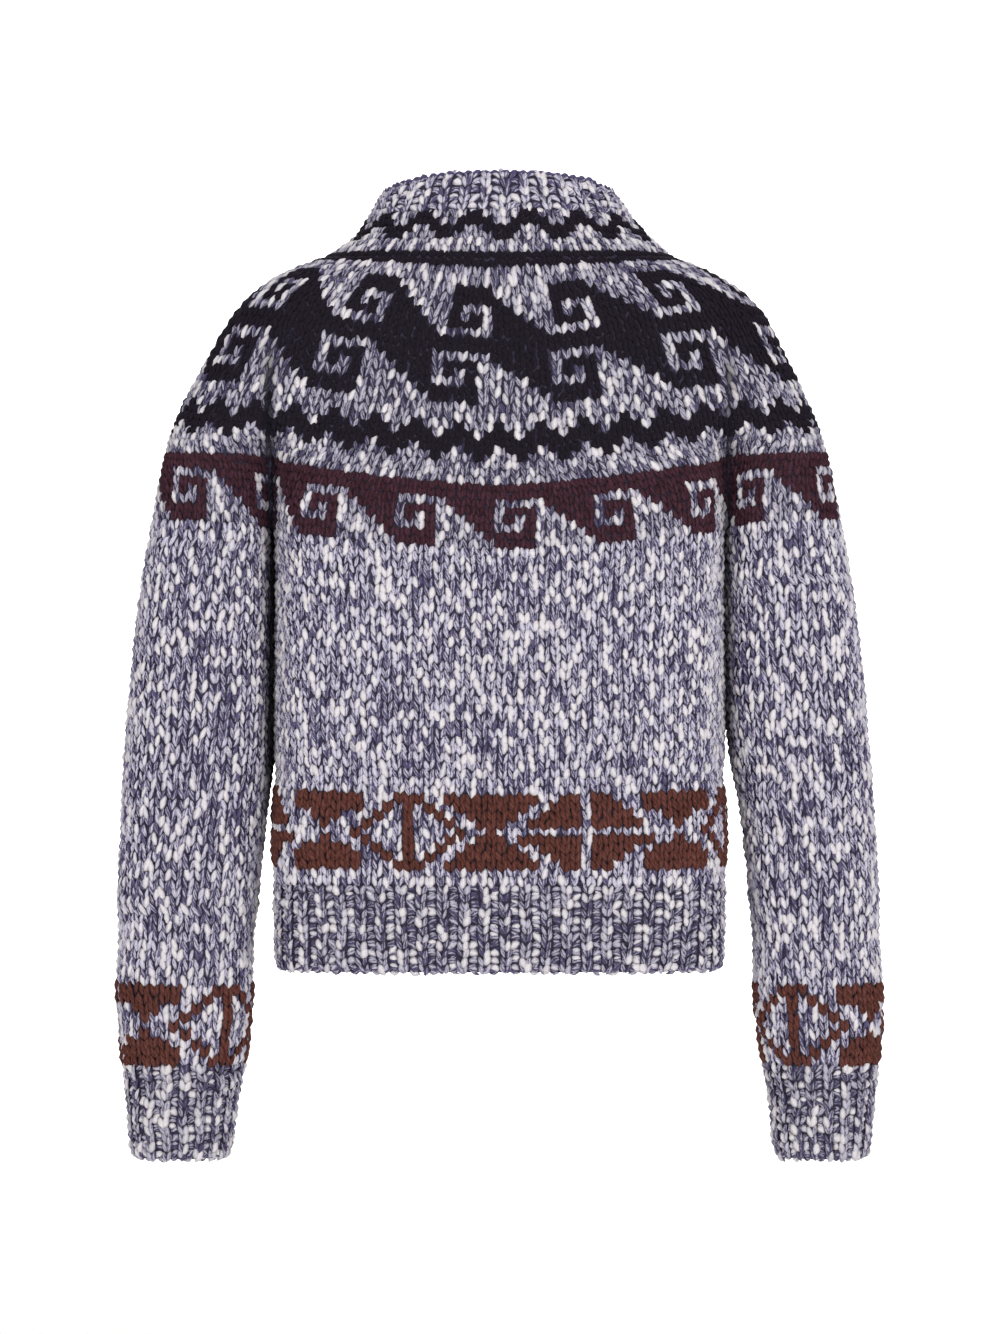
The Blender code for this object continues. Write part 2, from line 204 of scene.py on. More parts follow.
class KnitSizes(bpy.types.PropertyGroup):
    """Stitch counts, and the sizes of a strand."""
    body_stitches: count("Body stitches", 120, "Stitches round the body")
    body_rows: count("Body rows", 41, "Rows from the hem's rib to the yoke")
    sleeve_stitches: count("Sleeve stitches", 40, "Stitches round a sleeve")
    sleeve_rows: count("Sleeve rows", 61, "Rows from the cuff to the yoke")
    yoke_rows: count("Yoke rows", 42, "Rows from the yoke's lower edge to the collar")
    hem_rows: count("Hem rows", 11, "Rows of the hem's rib")
    cuff_rows: count("Cuff rows", 11, "Rows of a cuff's rib")
    collar_ribs: count("Collar ribs", 36, "Ribs round the collar")
    collar_rows: count("Collar rows", 5, "Rows of the collar's rib")
    shell_outside: length("Shell below the surface", 0.0022, "Where the plain cloth starts")
    strand_side: length("Strand half-width", 0.0017, "Half a strand's width along the cloth")
    strand_out: length("Strand half-height", 0.0015, "Half a strand's height off the cloth")
    strand_depth: length("Strand depth", 0.0011, "A strand's centre line below the surface")
    slub_share: bpy.props.FloatProperty(name="Slub share", default=0.26, min=0.0, max=1.0,
                                        subtype="FACTOR",
                                        description="The share of strands that start a slub")


class YarnColours(bpy.types.PropertyGroup):
    """The yarns' colours, linear."""
    dark_ply: colour("Dark ply", (0.085, 0.072, 0.150), "The marl's blue-grey ply")
    pale_ply: colour("Pale ply", (0.56, 0.53, 0.63), "The marl's pale ply")
    slub: colour("Slub", (0.68, 0.64, 0.66), "The marl's thick cream lobes")
    navy: colour("Navy", (0.012, 0.008, 0.014), "The dark bands' yarn")
    burgundy: colour("Burgundy", (0.030, 0.009, 0.014), "The lowest band's yarn")
    brown: colour("Brown", (0.065, 0.020, 0.014), "The figures' yarn")
    navy_nap: colour("Navy nap", (0.016, 0.011, 0.020), "The navy yarn's paler hairs")
    burgundy_nap: colour("Burgundy nap", (0.075, 0.030, 0.045), "The burgundy yarn's paler hairs")
    brown_light: colour("Brown light", (0.140, 0.048, 0.040), "The brown yarn's raised plies")
    # a painted shade colour for the brown strands' sides and tips, where they lie in their
    # neighbours' shadow
    brown_painted_shade: colour("Brown dark", (0.012, 0.006, 0.006), "The brown yarn's sides and tips")
    # darker than either ply: painted shade for the gaps between the strands, and also the darker
    # tone of the inside's marl
    ground: colour("Ground", (0.045, 0.038, 0.070), "The plain cloth between the strands")


class StudioSettings(bpy.types.PropertyGroup):
    """The camera's and the floor's places."""
    camera_distance: length("Camera distance", 3.1, "From the camera to the garment's middle")
    camera_height: length("Camera height", -0.3146, "The height that the camera stands at")
    picture_height: length("Picture height", 0.9605, "What the picture's height takes in")
    floor_height: length("Floor height", -0.86, "The floor, below what the wearer holds up")


# ---- Curves ------------------------------------------------------------------------------------
def read(table, columns, name, place):
    """A column's value at a place along the table: cubic pieces that pass through each row, with
    each row's slope taken from the rows beside it."""
    rows = np.array(table)
    places, values = rows[:, 0], rows[:, columns.index(name)]
    slopes = np.gradient(values, places)
    place = float(np.clip(place, places[0], places[-1]))
    low = int(np.clip(np.searchsorted(places, place) - 1, 0, len(places) - 2))
    span = places[low + 1] - places[low]
    t = (place - places[low]) / span
    through = values[low] * (2 * t**3 - 3 * t**2 + 1) + values[low + 1] * (3 * t**2 - 2 * t**3)
    lean = slopes[low] * (t**3 - 2 * t**2 + t) + slopes[low + 1] * (t**3 - t**2)
    return float(through + span * lean)


def flattened_arc(half_width, depth, power, start, end, points=300):
    """Points of a flattened ring between two angles, in plan. Angle 0 looks back (-Y), a quarter
    turn looks along +X, and the radius is a superellipse's:
    (|sin / half_width|^power + |cos / depth|^power)^(-1 / power)."""
    angle = np.linspace(start, end, points)
    across, along = np.sin(angle), np.cos(angle)
    radius = (np.abs(across / half_width)**power + np.abs(along / depth)**power)**(-1 / power)
    return np.column_stack([radius * across, -radius * along])


def shares_of(points):
    """Each point's share of the line's length, from 0 to 1."""
    steps = np.linalg.norm(np.diff(points, axis=0), axis=1)
    return np.concatenate([[0.0], np.cumsum(steps)]) / steps.sum()


def spread(points, shares):
    """Points at these shares of a line's length."""
    along = shares_of(points)
    return np.column_stack([np.interp(shares, along, column) for column in points.T])


def cut(points, measure, value):
    """A line's stretches before and after the first place where a measure of it passes a value."""
    after = int(np.argmax(measure > value))
    share = (value - measure[after - 1]) / (measure[after] - measure[after - 1])
    place = points[after - 1] + (points[after] - points[after - 1]) * share
    return np.vstack([points[:after], place]), np.vstack([place, points[after:]])


# ---- Quarter rings, all given as if they were the right back one -------------------------------
def torso_stretches(half_width, depth, fold):
    """A torso's flattened quarter ring in plan: from the centre to the fold's lip, and from the
    fold's bottom to the middle of the underarm."""
    ring = flattened_arc(half_width, depth, TORSO_POWER, 0, np.pi / 2)
    torso = cut(ring, ring[:, 1], -fold - FOLD_LIP)[0]
    underarm = cut(ring, ring[:, 1], -fold)[1]
    return (spread(torso, np.linspace(0, 1, TORSO_STEPS + 1)),
            spread(underarm, np.linspace(0, 1, UNDERARM_STEPS + 1)))


def sleeve_stretches(outer, inner, half_depth, fold):
    """Half a sleeve's flattened ring, cut at the fold: from the middle of the underarm to the
    fold's bottom, and from the fold's lip round to the sleeve's outer side."""
    ring = flattened_arc((outer - inner) / 2, half_depth, SLEEVE_POWER, -np.pi / 2, np.pi / 2)
    ring = ring + ((outer + inner) / 2, 0)
    underarm = cut(ring, -ring[:, 1], fold)[0]
    arm = cut(ring, -ring[:, 1], fold + FOLD_LIP)[1]
    return (spread(underarm, np.linspace(0, 1, UNDERARM_STEPS + 1)),
            spread(arm, np.linspace(0, 1, ARM_STEPS + 1)))


def smooth_plan(half_width, depth, power, fold_place):
    """A plain flattened quarter ring in plan, with as many points to each side of the fold's
    place as the folded one has."""
    ring = flattened_arc(half_width, depth, power, 0, np.pi / 2)
    torso = cut(ring, ring[:, 0], fold_place - FOLD_LIP)[0]
    bottom = cut(ring, ring[:, 0], fold_place)[1][0]
    arm = cut(ring, ring[:, 0], fold_place + FOLD_LIP)[1]
    return np.vstack([spread(torso, np.linspace(0, 1, TORSO_STEPS + 1)), bottom,
                      spread(arm, np.linspace(0, 1, ARM_STEPS + 1))])


def climb(plan, size, power, drop, reach):
    """Gives a quarter ring its heights: from the centre's to the side's along a power of a sine,
    eased at the centre, and a drop there that fades out as a squared cosine at this share of the
    ring."""
    share = shares_of(plan)
    lift = (np.sin(np.pi / 2 * share)**2 + CLIMB_EASE)**(power / 2) - CLIMB_EASE**(power / 2)
    lift /= lift[-1]
    fade = np.cos(np.pi / 2 * np.minimum(share / reach, 1))**2
    height = size["back_height"] + (size["side_height"] - size["back_height"]) * lift
    return np.column_stack([plan, height + drop * fade])


def yoke_quarter(side, face, rise):
    """A quarter of the yoke's round. Low down it is the torso's ring and the sleeve's ring with a
    fold between them, and higher up it turns into one smooth ring."""
    size = {name: read(YOKE, YOKE_COLUMNS, name, rise) for name in YOKE_COLUMNS}
    place, fold = size["fold_place"], size["fold"]
    torso = torso_stretches(place, size[face], fold)[0]
    arm = sleeve_stretches(size[side], place, size["arm"], fold)[1]
    folded = np.vstack([torso, (place, -fold), arm])
    plain = smooth_plan(size[side], size[face], size["power"], place)
    plan = folded + (plain - folded) * size["smooth"]
    fold_share = shares_of(plan)[FOLD_POINT]
    reach = fold_share + (1 - fold_share) * size["smooth"]
    return climb(plan, size, YOKE_LIFT, size["front_drop"] if face == "front" else 0.0, reach)


def torso_quarter(face, low, high, level):
    """A quarter of a round between two heights, the same on both sides: the torso's stretch, and
    the underarm's at the height of the fold's bottom. high may be a number or the heights of the
    round's points."""
    section = low + (np.max(high) - low) * level
    half_width = read(TORSO, TORSO_COLUMNS, "half_width", section)
    plan = np.vstack(torso_stretches(half_width, read(TORSO, TORSO_COLUMNS, face, section), FOLD))
    return np.column_stack([plan, low + (high - low) * level * np.ones(len(plan))])


def body_quarter(side, face, level):
    """A quarter of the body's round, up to the yoke's lower edge."""
    edge = yoke_quarter(side, face, 0)[:, 2]
    underarm = np.full(UNDERARM_STEPS + 1, edge[FOLD_POINT])
    top = np.concatenate([edge[:FOLD_POINT], underarm])
    return torso_quarter(face, BODY_EDGE, top, level)


def hem_quarter(side, face, level):
    """A quarter of the hem's round, from its lower edge to the body. Both sides are alike."""
    return torso_quarter(face, HEM_EDGE, BODY_EDGE, level)


def collar_quarter(side, face, level):
    """A quarter of the collar's round, from the yoke to its free edge."""
    size = {name: read(COLLAR, COLLAR_COLUMNS, name, level) for name in COLLAR_COLUMNS}
    plan = flattened_arc(size[side], size[face], COLLAR_POWER, 0, np.pi / 2)
    return climb(plan, size, COLLAR_LIFT, size["front_drop"] if face == "front" else 0.0, 1.0)


def sleeve_half(side, low, high, level):
    """Half a sleeve's round between two heights: the underarm's stretch, then the arm's."""
    section = low + (np.max(high) - low) * level
    size = {name: read(SLEEVE, SLEEVE_COLUMNS, name, section) for name in SLEEVE_COLUMNS}
    plan = np.vstack(sleeve_stretches(size[side + "_outer"], size[side + "_inner"],
                                      size["half_depth"], FOLD))
    return np.column_stack([plan, low + (high - low) * level * np.ones(len(plan))]), section


# ---- Whole rounds, counter-clockwise from above: to the right, as seen from outside -------------
def torso_round(quarter, level):
    """A closed round from the centre back, made of a function's four quarters."""
    stretches = []
    for side, face in QUARTERS:
        turned = (1 if side == "right" else -1, 1 if face == "back" else -1, 1)
        points = quarter(side, face, level) * turned
        outwards = (side == "right") == (face == "back")
        stretches.append(points[:-1] if outwards else points[:0:-1])
    return np.vstack(stretches)


def arm_round(side, low, high, level):
    """A closed round of a sleeve, moved forward as its section says, from its middle at the
    back."""
    points, section = sleeve_half(side, low, high, level)
    points = np.vstack([points[:-1], points[:0:-1] * (1, -1, 1)])
    points[:, 1] += read(SLEEVE, SLEEVE_COLUMNS, "forward", section)
    points = points if side == "right" else points[::-1] * (-1, 1, 1)
    return np.roll(points, -int(np.argmin(points[:, 1])), axis=0)


def sleeve_round(side, level):
    """A closed round of a sleeve between its cuff and the yoke."""
    edge = yoke_quarter(side, "back", 0)[:, 2]
    underarm = np.full(UNDERARM_STEPS + 1, edge[FOLD_POINT])
    return arm_round(side, WRIST, np.concatenate([underarm, edge[FOLD_POINT + 1:]]), level)


def cuff_round(side, level):
    """A closed round of a cuff, from its lower edge to the sleeve."""
    return arm_round(side, CUFF_EDGE, WRIST, level)


ROUNDS = {
    "yoke": lambda level: torso_round(yoke_quarter, level),
    "body": lambda level: torso_round(body_quarter, level),
    "hem_rib": lambda level: torso_round(hem_quarter, level),
    "collar": lambda level: torso_round(collar_quarter, level),
    "sleeve_left": lambda level: sleeve_round("left", level),
    "sleeve_right": lambda level: sleeve_round("right", level),
    "cuff_left": lambda level: cuff_round("left", level),
    "cuff_right": lambda level: cuff_round("right", level),
}


def even_round(ring, places):
    """Points at these places round a closed ring, as shares of its length that may pass 0 or 1."""
    closed = np.vstack([ring, ring[:1]])
    return spread(closed, np.mod(places, 1.0))


def across_normals(points):
    """Outward normals of a grid of closed rounds (rows, columns, 3), lowest first: the product of
    the step to the right and the step up."""
    right = np.roll(points, -1, axis=1) - np.roll(points, 1, axis=1)
    normals = np.cross(right, np.gradient(points, axis=0))
    return normals / np.linalg.norm(normals, axis=2, keepdims=True)


# ---- Cloth -------------------------------------------------------------------------------------
RIB_TUCK = 0.0024       # how far a rib's free edge draws in
TUCK_FADE = 0.06        # the share of a rib's rise over which it widens again
EDGE_TURN = 0.0040      # how far the last round turns in under a free edge
EDGE_SINK = -0.0007     # how deep the last round's strands lie
SHELL_WAVE = 0.4        # how far the plain cloth follows the ribs, of their rise
SHELL_ROUNDS = 22
YARNS = ("marl_yarn", "navy_yarn", "burgundy_yarn", "brown_yarn")   # in the order of the yarn ids
SLEEVE_WAVES = ((0.24, 0.04, -0.0014), (0.10, 0.07, 0.0010))
# Each piece: the columns of its shell, its flat size (once round, then along it), the area where
# that isn't a rectangle, and the piece that it hangs from. Some have a shade, which is how much
# darker their plain marl strands are, and soft troughs and ridges all round them, each with its
# share of the piece's rise, its width and its own rise. A rib has its free edge (0 is the lower
# one) and how far its ribs stand out of the furrows beside them.
PIECES = {
    "yoke": dict(columns=240, flat=(1.35, 0.27), area=0.26, rests_on=(), shade=0.26,
                 waves=((0.84, 0.028, -0.0022), (0.66, 0.08, 0.0014))),
    "body": dict(columns=200, flat=(0.90, 0.25), rests_on=("yoke",),
                 waves=((0.30, 0.06, -0.0016), (0.13, 0.08, 0.0012))),
    "hem_rib": dict(columns=240, flat=(0.86, 0.065), rests_on=("body",), shade=0.20,
                    free_edge=0, rib_rise=0.0014),
    "collar": dict(columns=144, flat=(0.55, 0.031), rests_on=("yoke",), free_edge=1,
                   rib_rise=0.0005),
    "sleeve_left": dict(columns=96, flat=(0.30, 0.385), rests_on=("yoke",), waves=SLEEVE_WAVES),
    "sleeve_right": dict(columns=96, flat=(0.30, 0.385), rests_on=("yoke",), waves=SLEEVE_WAVES),
    "cuff_left": dict(columns=80, flat=(0.23, 0.07), rests_on=("sleeve_left",), shade=0.24,
                      free_edge=0, rib_rise=0.0014),
    "cuff_right": dict(columns=80, flat=(0.23, 0.07), rests_on=("sleeve_right",), shade=0.24,
                       free_edge=0, rib_rise=0.0014),
}
CREASE_ENDS = 0.35      # a crease's rise at its ends, of its middle's
# A crease: where it starts and ends, the width of its bell curve, and its rise, which is less
# than 0 in a trough.
CREASES = (
    # between body and sleeves
    ((-0.1622, -0.050, -0.105), (-0.1618, -0.050, -0.235), 0.024, -0.0038),
    ((0.1622, -0.050, -0.105), (0.1618, -0.050, -0.235), 0.024, -0.0038),
    ((-0.1622, 0.050, -0.105), (-0.1618, 0.050, -0.235), 0.024, -0.0038),
    ((0.1622, 0.050, -0.105), (0.1618, 0.050, -0.235), 0.024, -0.0038),
    ((-0.1620, -0.050, -0.215), (-0.1660, -0.050, -0.440), 0.022, -0.0028),
    ((0.1620, -0.050, -0.215), (0.1660, -0.050, -0.440), 0.022, -0.0028),
    # where body and sleeves press on each other
    ((-0.1610, 0.003, -0.130), (-0.1640, 0.003, -0.510), 0.024, 0.0021),
    ((0.1610, 0.003, -0.130), (0.1640, 0.003, -0.510), 0.024, 0.0021),
    # from the shoulders towards the underarms
    ((-0.100, -0.077, -0.075), (-0.140, -0.072, -0.180), 0.018, -0.0022),
    ((0.105, -0.076, -0.085), (0.138, -0.072, -0.175), 0.018, -0.0022),
    ((-0.100, 0.080, -0.100), (-0.140, 0.075, -0.190), 0.018, -0.0022),
    ((0.105, 0.080, -0.095), (0.140, 0.075, -0.185), 0.018, -0.0022),
    # from the underarms across the body
    ((-0.148, -0.058, -0.245), (-0.100, -0.082, -0.335), 0.016, -0.0020),
    ((0.148, -0.058, -0.250), (0.105, -0.082, -0.325), 0.016, -0.0020),
    ((-0.148, 0.064, -0.250), (-0.100, 0.090, -0.335), 0.016, -0.0020),
    ((0.148, 0.064, -0.245), (0.105, 0.090, -0.330), 0.016, -0.0020),
    # across the elbows
    ((-0.262, -0.030, -0.350), (-0.205, -0.043, -0.405), 0.014, -0.0026),
    ((0.262, -0.030, -0.355), (0.205, -0.043, -0.400), 0.014, -0.0026),
    ((-0.182, -0.034, -0.430), (-0.235, -0.038, -0.470), 0.014, -0.0022),
    ((0.182, -0.034, -0.425), (0.235, -0.038, -0.470), 0.014, -0.0022),
    ((-0.258, 0.040, -0.360), (-0.200, 0.051, -0.405), 0.014, -0.0026),
    ((0.258, 0.040, -0.355), (0.200, 0.051, -0.400), 0.014, -0.0026),
)
# Shadows painted into the strands' colour between body and sleeves, seen from the back: each line's
# ends, across and up, its width and its strength. Each fades in over a share of its length.
SLIT_FADE = 0.25
# the near-black colour that the painted shadow mixes towards
SLIT_SHADOW_BLACK = (0.006, 0.005, 0.010)
SLIT_SHADOWS = (
    ((-0.1625, -0.070), (-0.1625, -0.235), 0.0042, 1.00),
    ((-0.1625, -0.150), (-0.1650, -0.420), 0.0044, 1.00),
    ((0.1625, -0.070), (0.1620, -0.235), 0.0036, 0.80),
    ((0.1620, -0.150), (0.1655, -0.430), 0.0036, 0.75),
)

# ---- Studio ------------------------------------------------------------------------------------
SENSOR = 36.0           # millimetres
CAMERA_ACROSS = 0.0004  # how far beside the garment's middle the camera stands
WORLD_STRENGTH = 0.34
BEND_START = 3.4        # where the floor starts to curve up, behind the garment
BEND_RADIUS = 1.2
BEND_STEPS = 24
BACKDROP_REACH = 6.0    # how far it runs on before the garment and up
BACKDROP_HALF_WIDTH = 7.0
# A light: its name, place, aim, width and power.
LIGHTS = (
    ("key", (1.3, -3.2, 0.9), (0.0, 0.0, -0.32), 2.2, 77.0),
    ("fill", (-1.7, -3.0, 0.3), (0.0, 0.0, -0.32), 2.2, 38.0),
    ("wall_left", (-1.8, 3.0, 0.1), (-0.6, 4.9, -0.4), 1.8, 60.0),
    ("wall_right", (1.8, 3.0, 0.1), (0.6, 4.9, -0.4), 1.8, 60.0),
    ("floor", (0.0, 1.8, 1.7), (0.0, 1.8, -0.86), 2.2, 55.0),
)


# ---- Stitches ----------------------------------------------------------------------------------
STRAND_PLACES = np.array((0.0, 0.22, 0.5, 0.78, 1.0))   # a strand's tip, three rounds and tip
STRAND_WIDTHS = np.array((0.70, 1.0, 0.68))             # the rounds' sizes, of its widest
STRAND_DIP = 0.0020                                     # how far its first tip dips
STRAND_DIPS = np.array((1.0, 0.30, 0.0, 0.22, 0.85))    # and each of its places, of that
STRAND_ROUND = np.pi + np.pi / 2 * np.arange(4)         # a round's points, from its inner one
STRAND_POINTS = 14                                      # its two tips and three rounds of four
BAKE_MARGIN = 0.08      # left free round each strand's square
# A slub's weight is from 0 to 1. Each range is its least weight and what chance adds to it.
SLUB_WEIGHTS = (0.45, 0.55)
FAINT_WEIGHTS = (0.10, 0.25)
SLUB_RUN = 0.08         # how often a slub goes on past a strand
FAINT_SLUBS = 0.22      # how many more strands are a little thick
# What a whole slub adds to a strand's width, height off the cloth and length, and its lift.
SLUB_WIDTH, SLUB_HEIGHT, SLUB_LENGTH, SLUB_LIFT = 0.66, 0.45, 0.18, 0.0003
YARN_SIZES = np.array((0.98, 1.22, 1.20, 1.26))         # each yarn's thickness, of the strand's
YARN_LIFTS = np.array((0.0, 0.0002, 0.0002, 0.0012))    # and how far its strands stand out
BROWN_LENGTH = 0.10     # what the firm brown yarn adds to a strand's length
# A knit strand, in shares of its cell. It starts a little beside the middle, and leans out by a
# power of the place along it. A rib's strands lean more and are shorter.
KNIT_START = 0.04
LEAN_POWER = 0.9
KNIT_MIDDLE = 0.49      # the height of its middle
KNIT_LEAN, RIB_LEAN = 0.37, 0.41
KNIT_LENGTH, RIB_LENGTH = 1.62, 1.45
RIB_SIZE = 1.12         # a rib's knit strands, of the body's
# A purl stitch's upper and lower strands: their sizes, and their ends' and bows' heights.
PURL_SIZES = (1.30, 1.00)
PURL_ENDS = (0.42, 0.0)
PURL_BOWS = (0.22, -0.10)
PURL_LENGTH = 1.14      # their length, of the cell's width
PURL_TILT = 0.62        # how much they tilt
FOOT_SINK = 0.0008      # how much deeper the lower one lies
# How much chance changes each strand: standard deviations, as shares of the cell or the size,
# and the depth's in metres.
VARIES = {"lean": 0.06, "across": 0.04, "up": 0.12, "purl_across": 0.05, "size": 0.11,
          "slub": 0.12, "depth": 0.0002}
WANDER = 0.0004         # how far columns stray, for each wave
# The waves' radians to the metre up, across and from back to front, and their sizes.
WANDER_WAVES = ((61, 47, 0, 1.0), (113, -83, 31, 1.0), (211, 97, -59, 0.7))
MOST_STRETCH = 2.0      # the tallest cell that gets a stitch, of the median
LEAST_WIDTH = 1 / 3     # the narrowest one, of the median


def fret_chart():
    """The wide band: the lowest band's figures turned half round, two plain rows, and the same
    figures moved half a repeat along."""
    upper = tuple(row[::-1] for row in FRET_HALF[::-1])
    lower = tuple(row[5:] + row[:5] for row in FRET_HALF)
    return upper + ("X" * 10,) * 2 + lower


def yoke_bands():
    """The yoke's bands from its lower edge, a tuple for each, in the order of BAND_COLUMNS."""
    return (
        (0, 8, 190, BURGUNDY, BURGUNDY_BAND, -0.46),
        (8, 11, 168, GROUND, None, 0.0),
        (11, 16, 148, NAVY, LOW_ZIGZAG, -0.45),
        (16, 18, 134, GROUND, None, 0.0),
        (18, 32, 120, NAVY, fret_chart(), -0.75),
        (32, 34, 112, GROUND, None, 0.0),
        (34, 36, 104, NAVY, SOLID_LINE, 0.0),
        (36, 38, 98, GROUND, None, 0.0),
        (38, 42, 90, NAVY, HIGH_ZIGZAG, -3.72),
    )


def yoke_row(row):
    """A yoke row's stitch count, the first stitch's place, and each stitch's yarn."""
    bands = (dict(zip(BAND_COLUMNS, values)) for values in yoke_bands())
    band = next(band for band in bands if band["bottom"] <= row < band["top"])
    stitches = band["stitches"]
    yarns = np.full(stitches, GROUND)
    if band["chart"]:
        marks = np.array(list(band["chart"][band["top"] - 1 - row])) == "X"
        yarns[marks[np.arange(stitches) % len(marks)]] = band["yarn"]
    return stitches, band["start"], yarns


def figure_row(row, stitches, figures):
    """The yarns of one of the nine rows of figures, counted from the lowest."""
    yarns = np.full(stitches, GROUND)
    half_widths = FIGURE_HALF_WIDTHS[FIGURE_ROWS - 1 - row]
    for centre, kind in figures:
        half = half_widths[kind]
        offsets = np.arange(-half, half + 1)
        if kind == OUTLINE:
            offsets = np.array(sorted({-half, -half + (half < 2), 0, half - (half < 2), half}))
        elif kind == DIAMOND:
            offsets = offsets[offsets != 0]
        yarns[(centre + offsets) % stitches] = BROWN
    return yarns


def body_row(row, sizes):
    """A body row's stitch count, first stitch's place and yarns: plain rows, the figures, and
    plain rows above."""
    yarns = np.full(sizes.body_stitches, GROUND)
    if PLAIN_ROWS <= row < PLAIN_ROWS + FIGURE_ROWS:
        yarns = figure_row(row - PLAIN_ROWS, sizes.body_stitches, BODY_FIGURES)
    return sizes.body_stitches, BODY_START, yarns


def sleeve_row(row, side, sizes):
    """A sleeve row's stitch count, first stitch's place and yarns: the figures are just above the
    cuff, a figure every eighth stitch."""
    yarns = np.full(sizes.sleeve_stitches, GROUND)
    if row < FIGURE_ROWS:
        yarns = figure_row(row, sizes.sleeve_stitches, SLEEVE_FIGURES)
    return sizes.sleeve_stitches, SLEEVE_STARTS[side], yarns


def rib_row(stitches):
    """A rib row's stitch count, first stitch's place and yarns."""
    return stitches, 0.0, np.full(stitches, GROUND)


def stitch_cells(rounds, row_plan):
    """Corners (stitches, 4, 3) of every stitch's cell, lower left, lower right, upper left and
    upper right, with each stitch's yarn, column, and share of the way round. row_plan gives a
    row's stitches. A cell that a fold's depth pulls out of shape is left out."""
    corners, yarns, columns, shares = [], [], [], []
    for row, (low, high) in enumerate(zip(rounds, rounds[1:])):
        stitches, start, yarn = row_plan(row)
        places = (start + np.arange(stitches + 1)) / stitches
        lower, upper = even_round(low, places), even_round(high, places)
        corners.append(np.stack([lower[:-1], lower[1:], upper[:-1], upper[1:]], axis=1))
        yarns.append(yarn)
        columns.append(np.arange(stitches))
        shares.append(np.mod((start + np.arange(stitches) + 0.5) / stitches, 1.0))
    parts = [np.concatenate(part) for part in (corners, yarns, columns, shares)]
    heights = np.linalg.norm(parts[0][:, 2] - parts[0][:, 0], axis=1)
    widths = np.linalg.norm(parts[0][:, 1] - parts[0][:, 0], axis=1)
    fair = ((heights < MOST_STRETCH * np.median(heights))
            & (widths > LEAST_WIDTH * np.median(widths)))
    return [part[fair] for part in parts]


def in_cells(corners, across, up):
    """Places in each cell, from its corners: the mean of the four, weighted by the shares across
    and up, which may pass 0 and 1."""
    a, b = across[..., None], up[..., None]
    c = corners[:, :, None, :]
    lower = c[:, 0] + (c[:, 1] - c[:, 0]) * a
    upper = c[:, 2] + (c[:, 3] - c[:, 2]) * a
    return lower + (upper - lower) * b


def unit(vectors):
    """The vectors, one metre long."""
    return vectors / np.linalg.norm(vectors, axis=-1, keepdims=True)


def strands(corners, yarns, purl, raised, shade, rib, sizes, rng):
    """Every strand of some stitches: its path, outward and sideways directions, half-sizes, yarn
    and tint. A knit stitch is two strands, from the middle of its lower edge up and out to either
    side, by a power of the place along them, and a purl one is two that bow across its cell by a
    sine, a large one up and a small one down. The tint is two random numbers, the slub's weight and
    how lit the strand is: the slits' painted shadow, times its piece's shade on plain marl strands,
    both painted into the strand's colour."""
    right = unit(corners[:, 1] + corners[:, 3] - corners[:, 0] - corners[:, 2])
    above = corners[:, 2] + corners[:, 3] - corners[:, 0] - corners[:, 1]
    out = unit(np.cross(right, above))
    t = STRAND_PLACES
    knit = np.flatnonzero(~purl)
    crossed = np.flatnonzero(purl)
    stitch = np.concatenate([np.repeat(knit, 2), np.repeat(crossed, 2)])
    hand = np.tile((-1.0, 1.0), len(knit) + len(crossed))
    level = np.arange(len(stitch)) >= 2 * len(knit)
    total = len(stitch)

    slub = slub_weights(total, sizes.slub_share, rng) * (yarns[stitch] == GROUND)
    chance = rng.normal(0, 1, (5, total))
    lean = (RIB_LEAN if rib else KNIT_LEAN) + VARIES["lean"] * chance[0]
    across = (0.5 + hand[:, None] * (KNIT_START + lean[:, None] * t**LEAN_POWER)
              + VARIES["across"] * chance[4][:, None])
    tall = ((RIB_LENGTH if rib else KNIT_LENGTH)
            * (1 + SLUB_LENGTH * slub + BROWN_LENGTH * (yarns[stitch] == BROWN)))
    up = KNIT_MIDDLE + tall[:, None] * (t - 0.5) + VARIES["up"] * chance[1][:, None]
    across[level] = 0.5 + PURL_LENGTH * (t - 0.5) + VARIES["purl_across"] * chance[3][level, None]
    tilt = PURL_TILT * chance[0][:, None] * (t - 0.5)
    head = level & (hand > 0)
    foot = level & (hand < 0)
    for which, end, bow in zip((head, foot), PURL_ENDS, PURL_BOWS):
        up[which] = end + bow * np.sin(np.pi * t) + tilt[which]

    grown = YARN_SIZES[yarns[stitch]] * np.select((head, foot), PURL_SIZES, RIB_SIZE if rib else 1)
    grown = grown * (1 + VARIES["size"] * chance[2])
    size = grown + slub * (SLUB_WIDTH + VARIES["slub"] * chance[3])
    swell = grown + slub * SLUB_HEIGHT
    depth = (sizes.strand_depth - SLUB_LIFT * slub - raised[stitch] + VARIES["depth"] * chance[4]
             - YARN_LIFTS[yarns[stitch]] + FOOT_SINK * foot)
    path = in_cells(corners[stitch], across, up)
    path -= out[stitch, None] * (depth[:, None] + STRAND_DIP * STRAND_DIPS)[..., None]
    path += right[stitch, None] * wander(path)[..., None]
    along = unit(path[:, 3] - path[:, 1])
    side = unit(np.cross(along, out[stitch]))
    outward = np.cross(side, along)
    half_side = sizes.strand_side * size[:, None] * STRAND_WIDTHS
    half_out = sizes.strand_out * swell[:, None] * STRAND_WIDTHS
    marled = yarns[stitch] == GROUND
    # painted shadow in the slits and the piece's shade, both painted into the strand's colour
    lit = (1 - painted_slit_shadow(path[:, 2])) * (1 - shade * marled * (1 - slub))
    tint = np.column_stack([rng.random(total), rng.random(total), slub, lit])
    return path, outward, side, half_out, half_side, yarns[stitch], tint


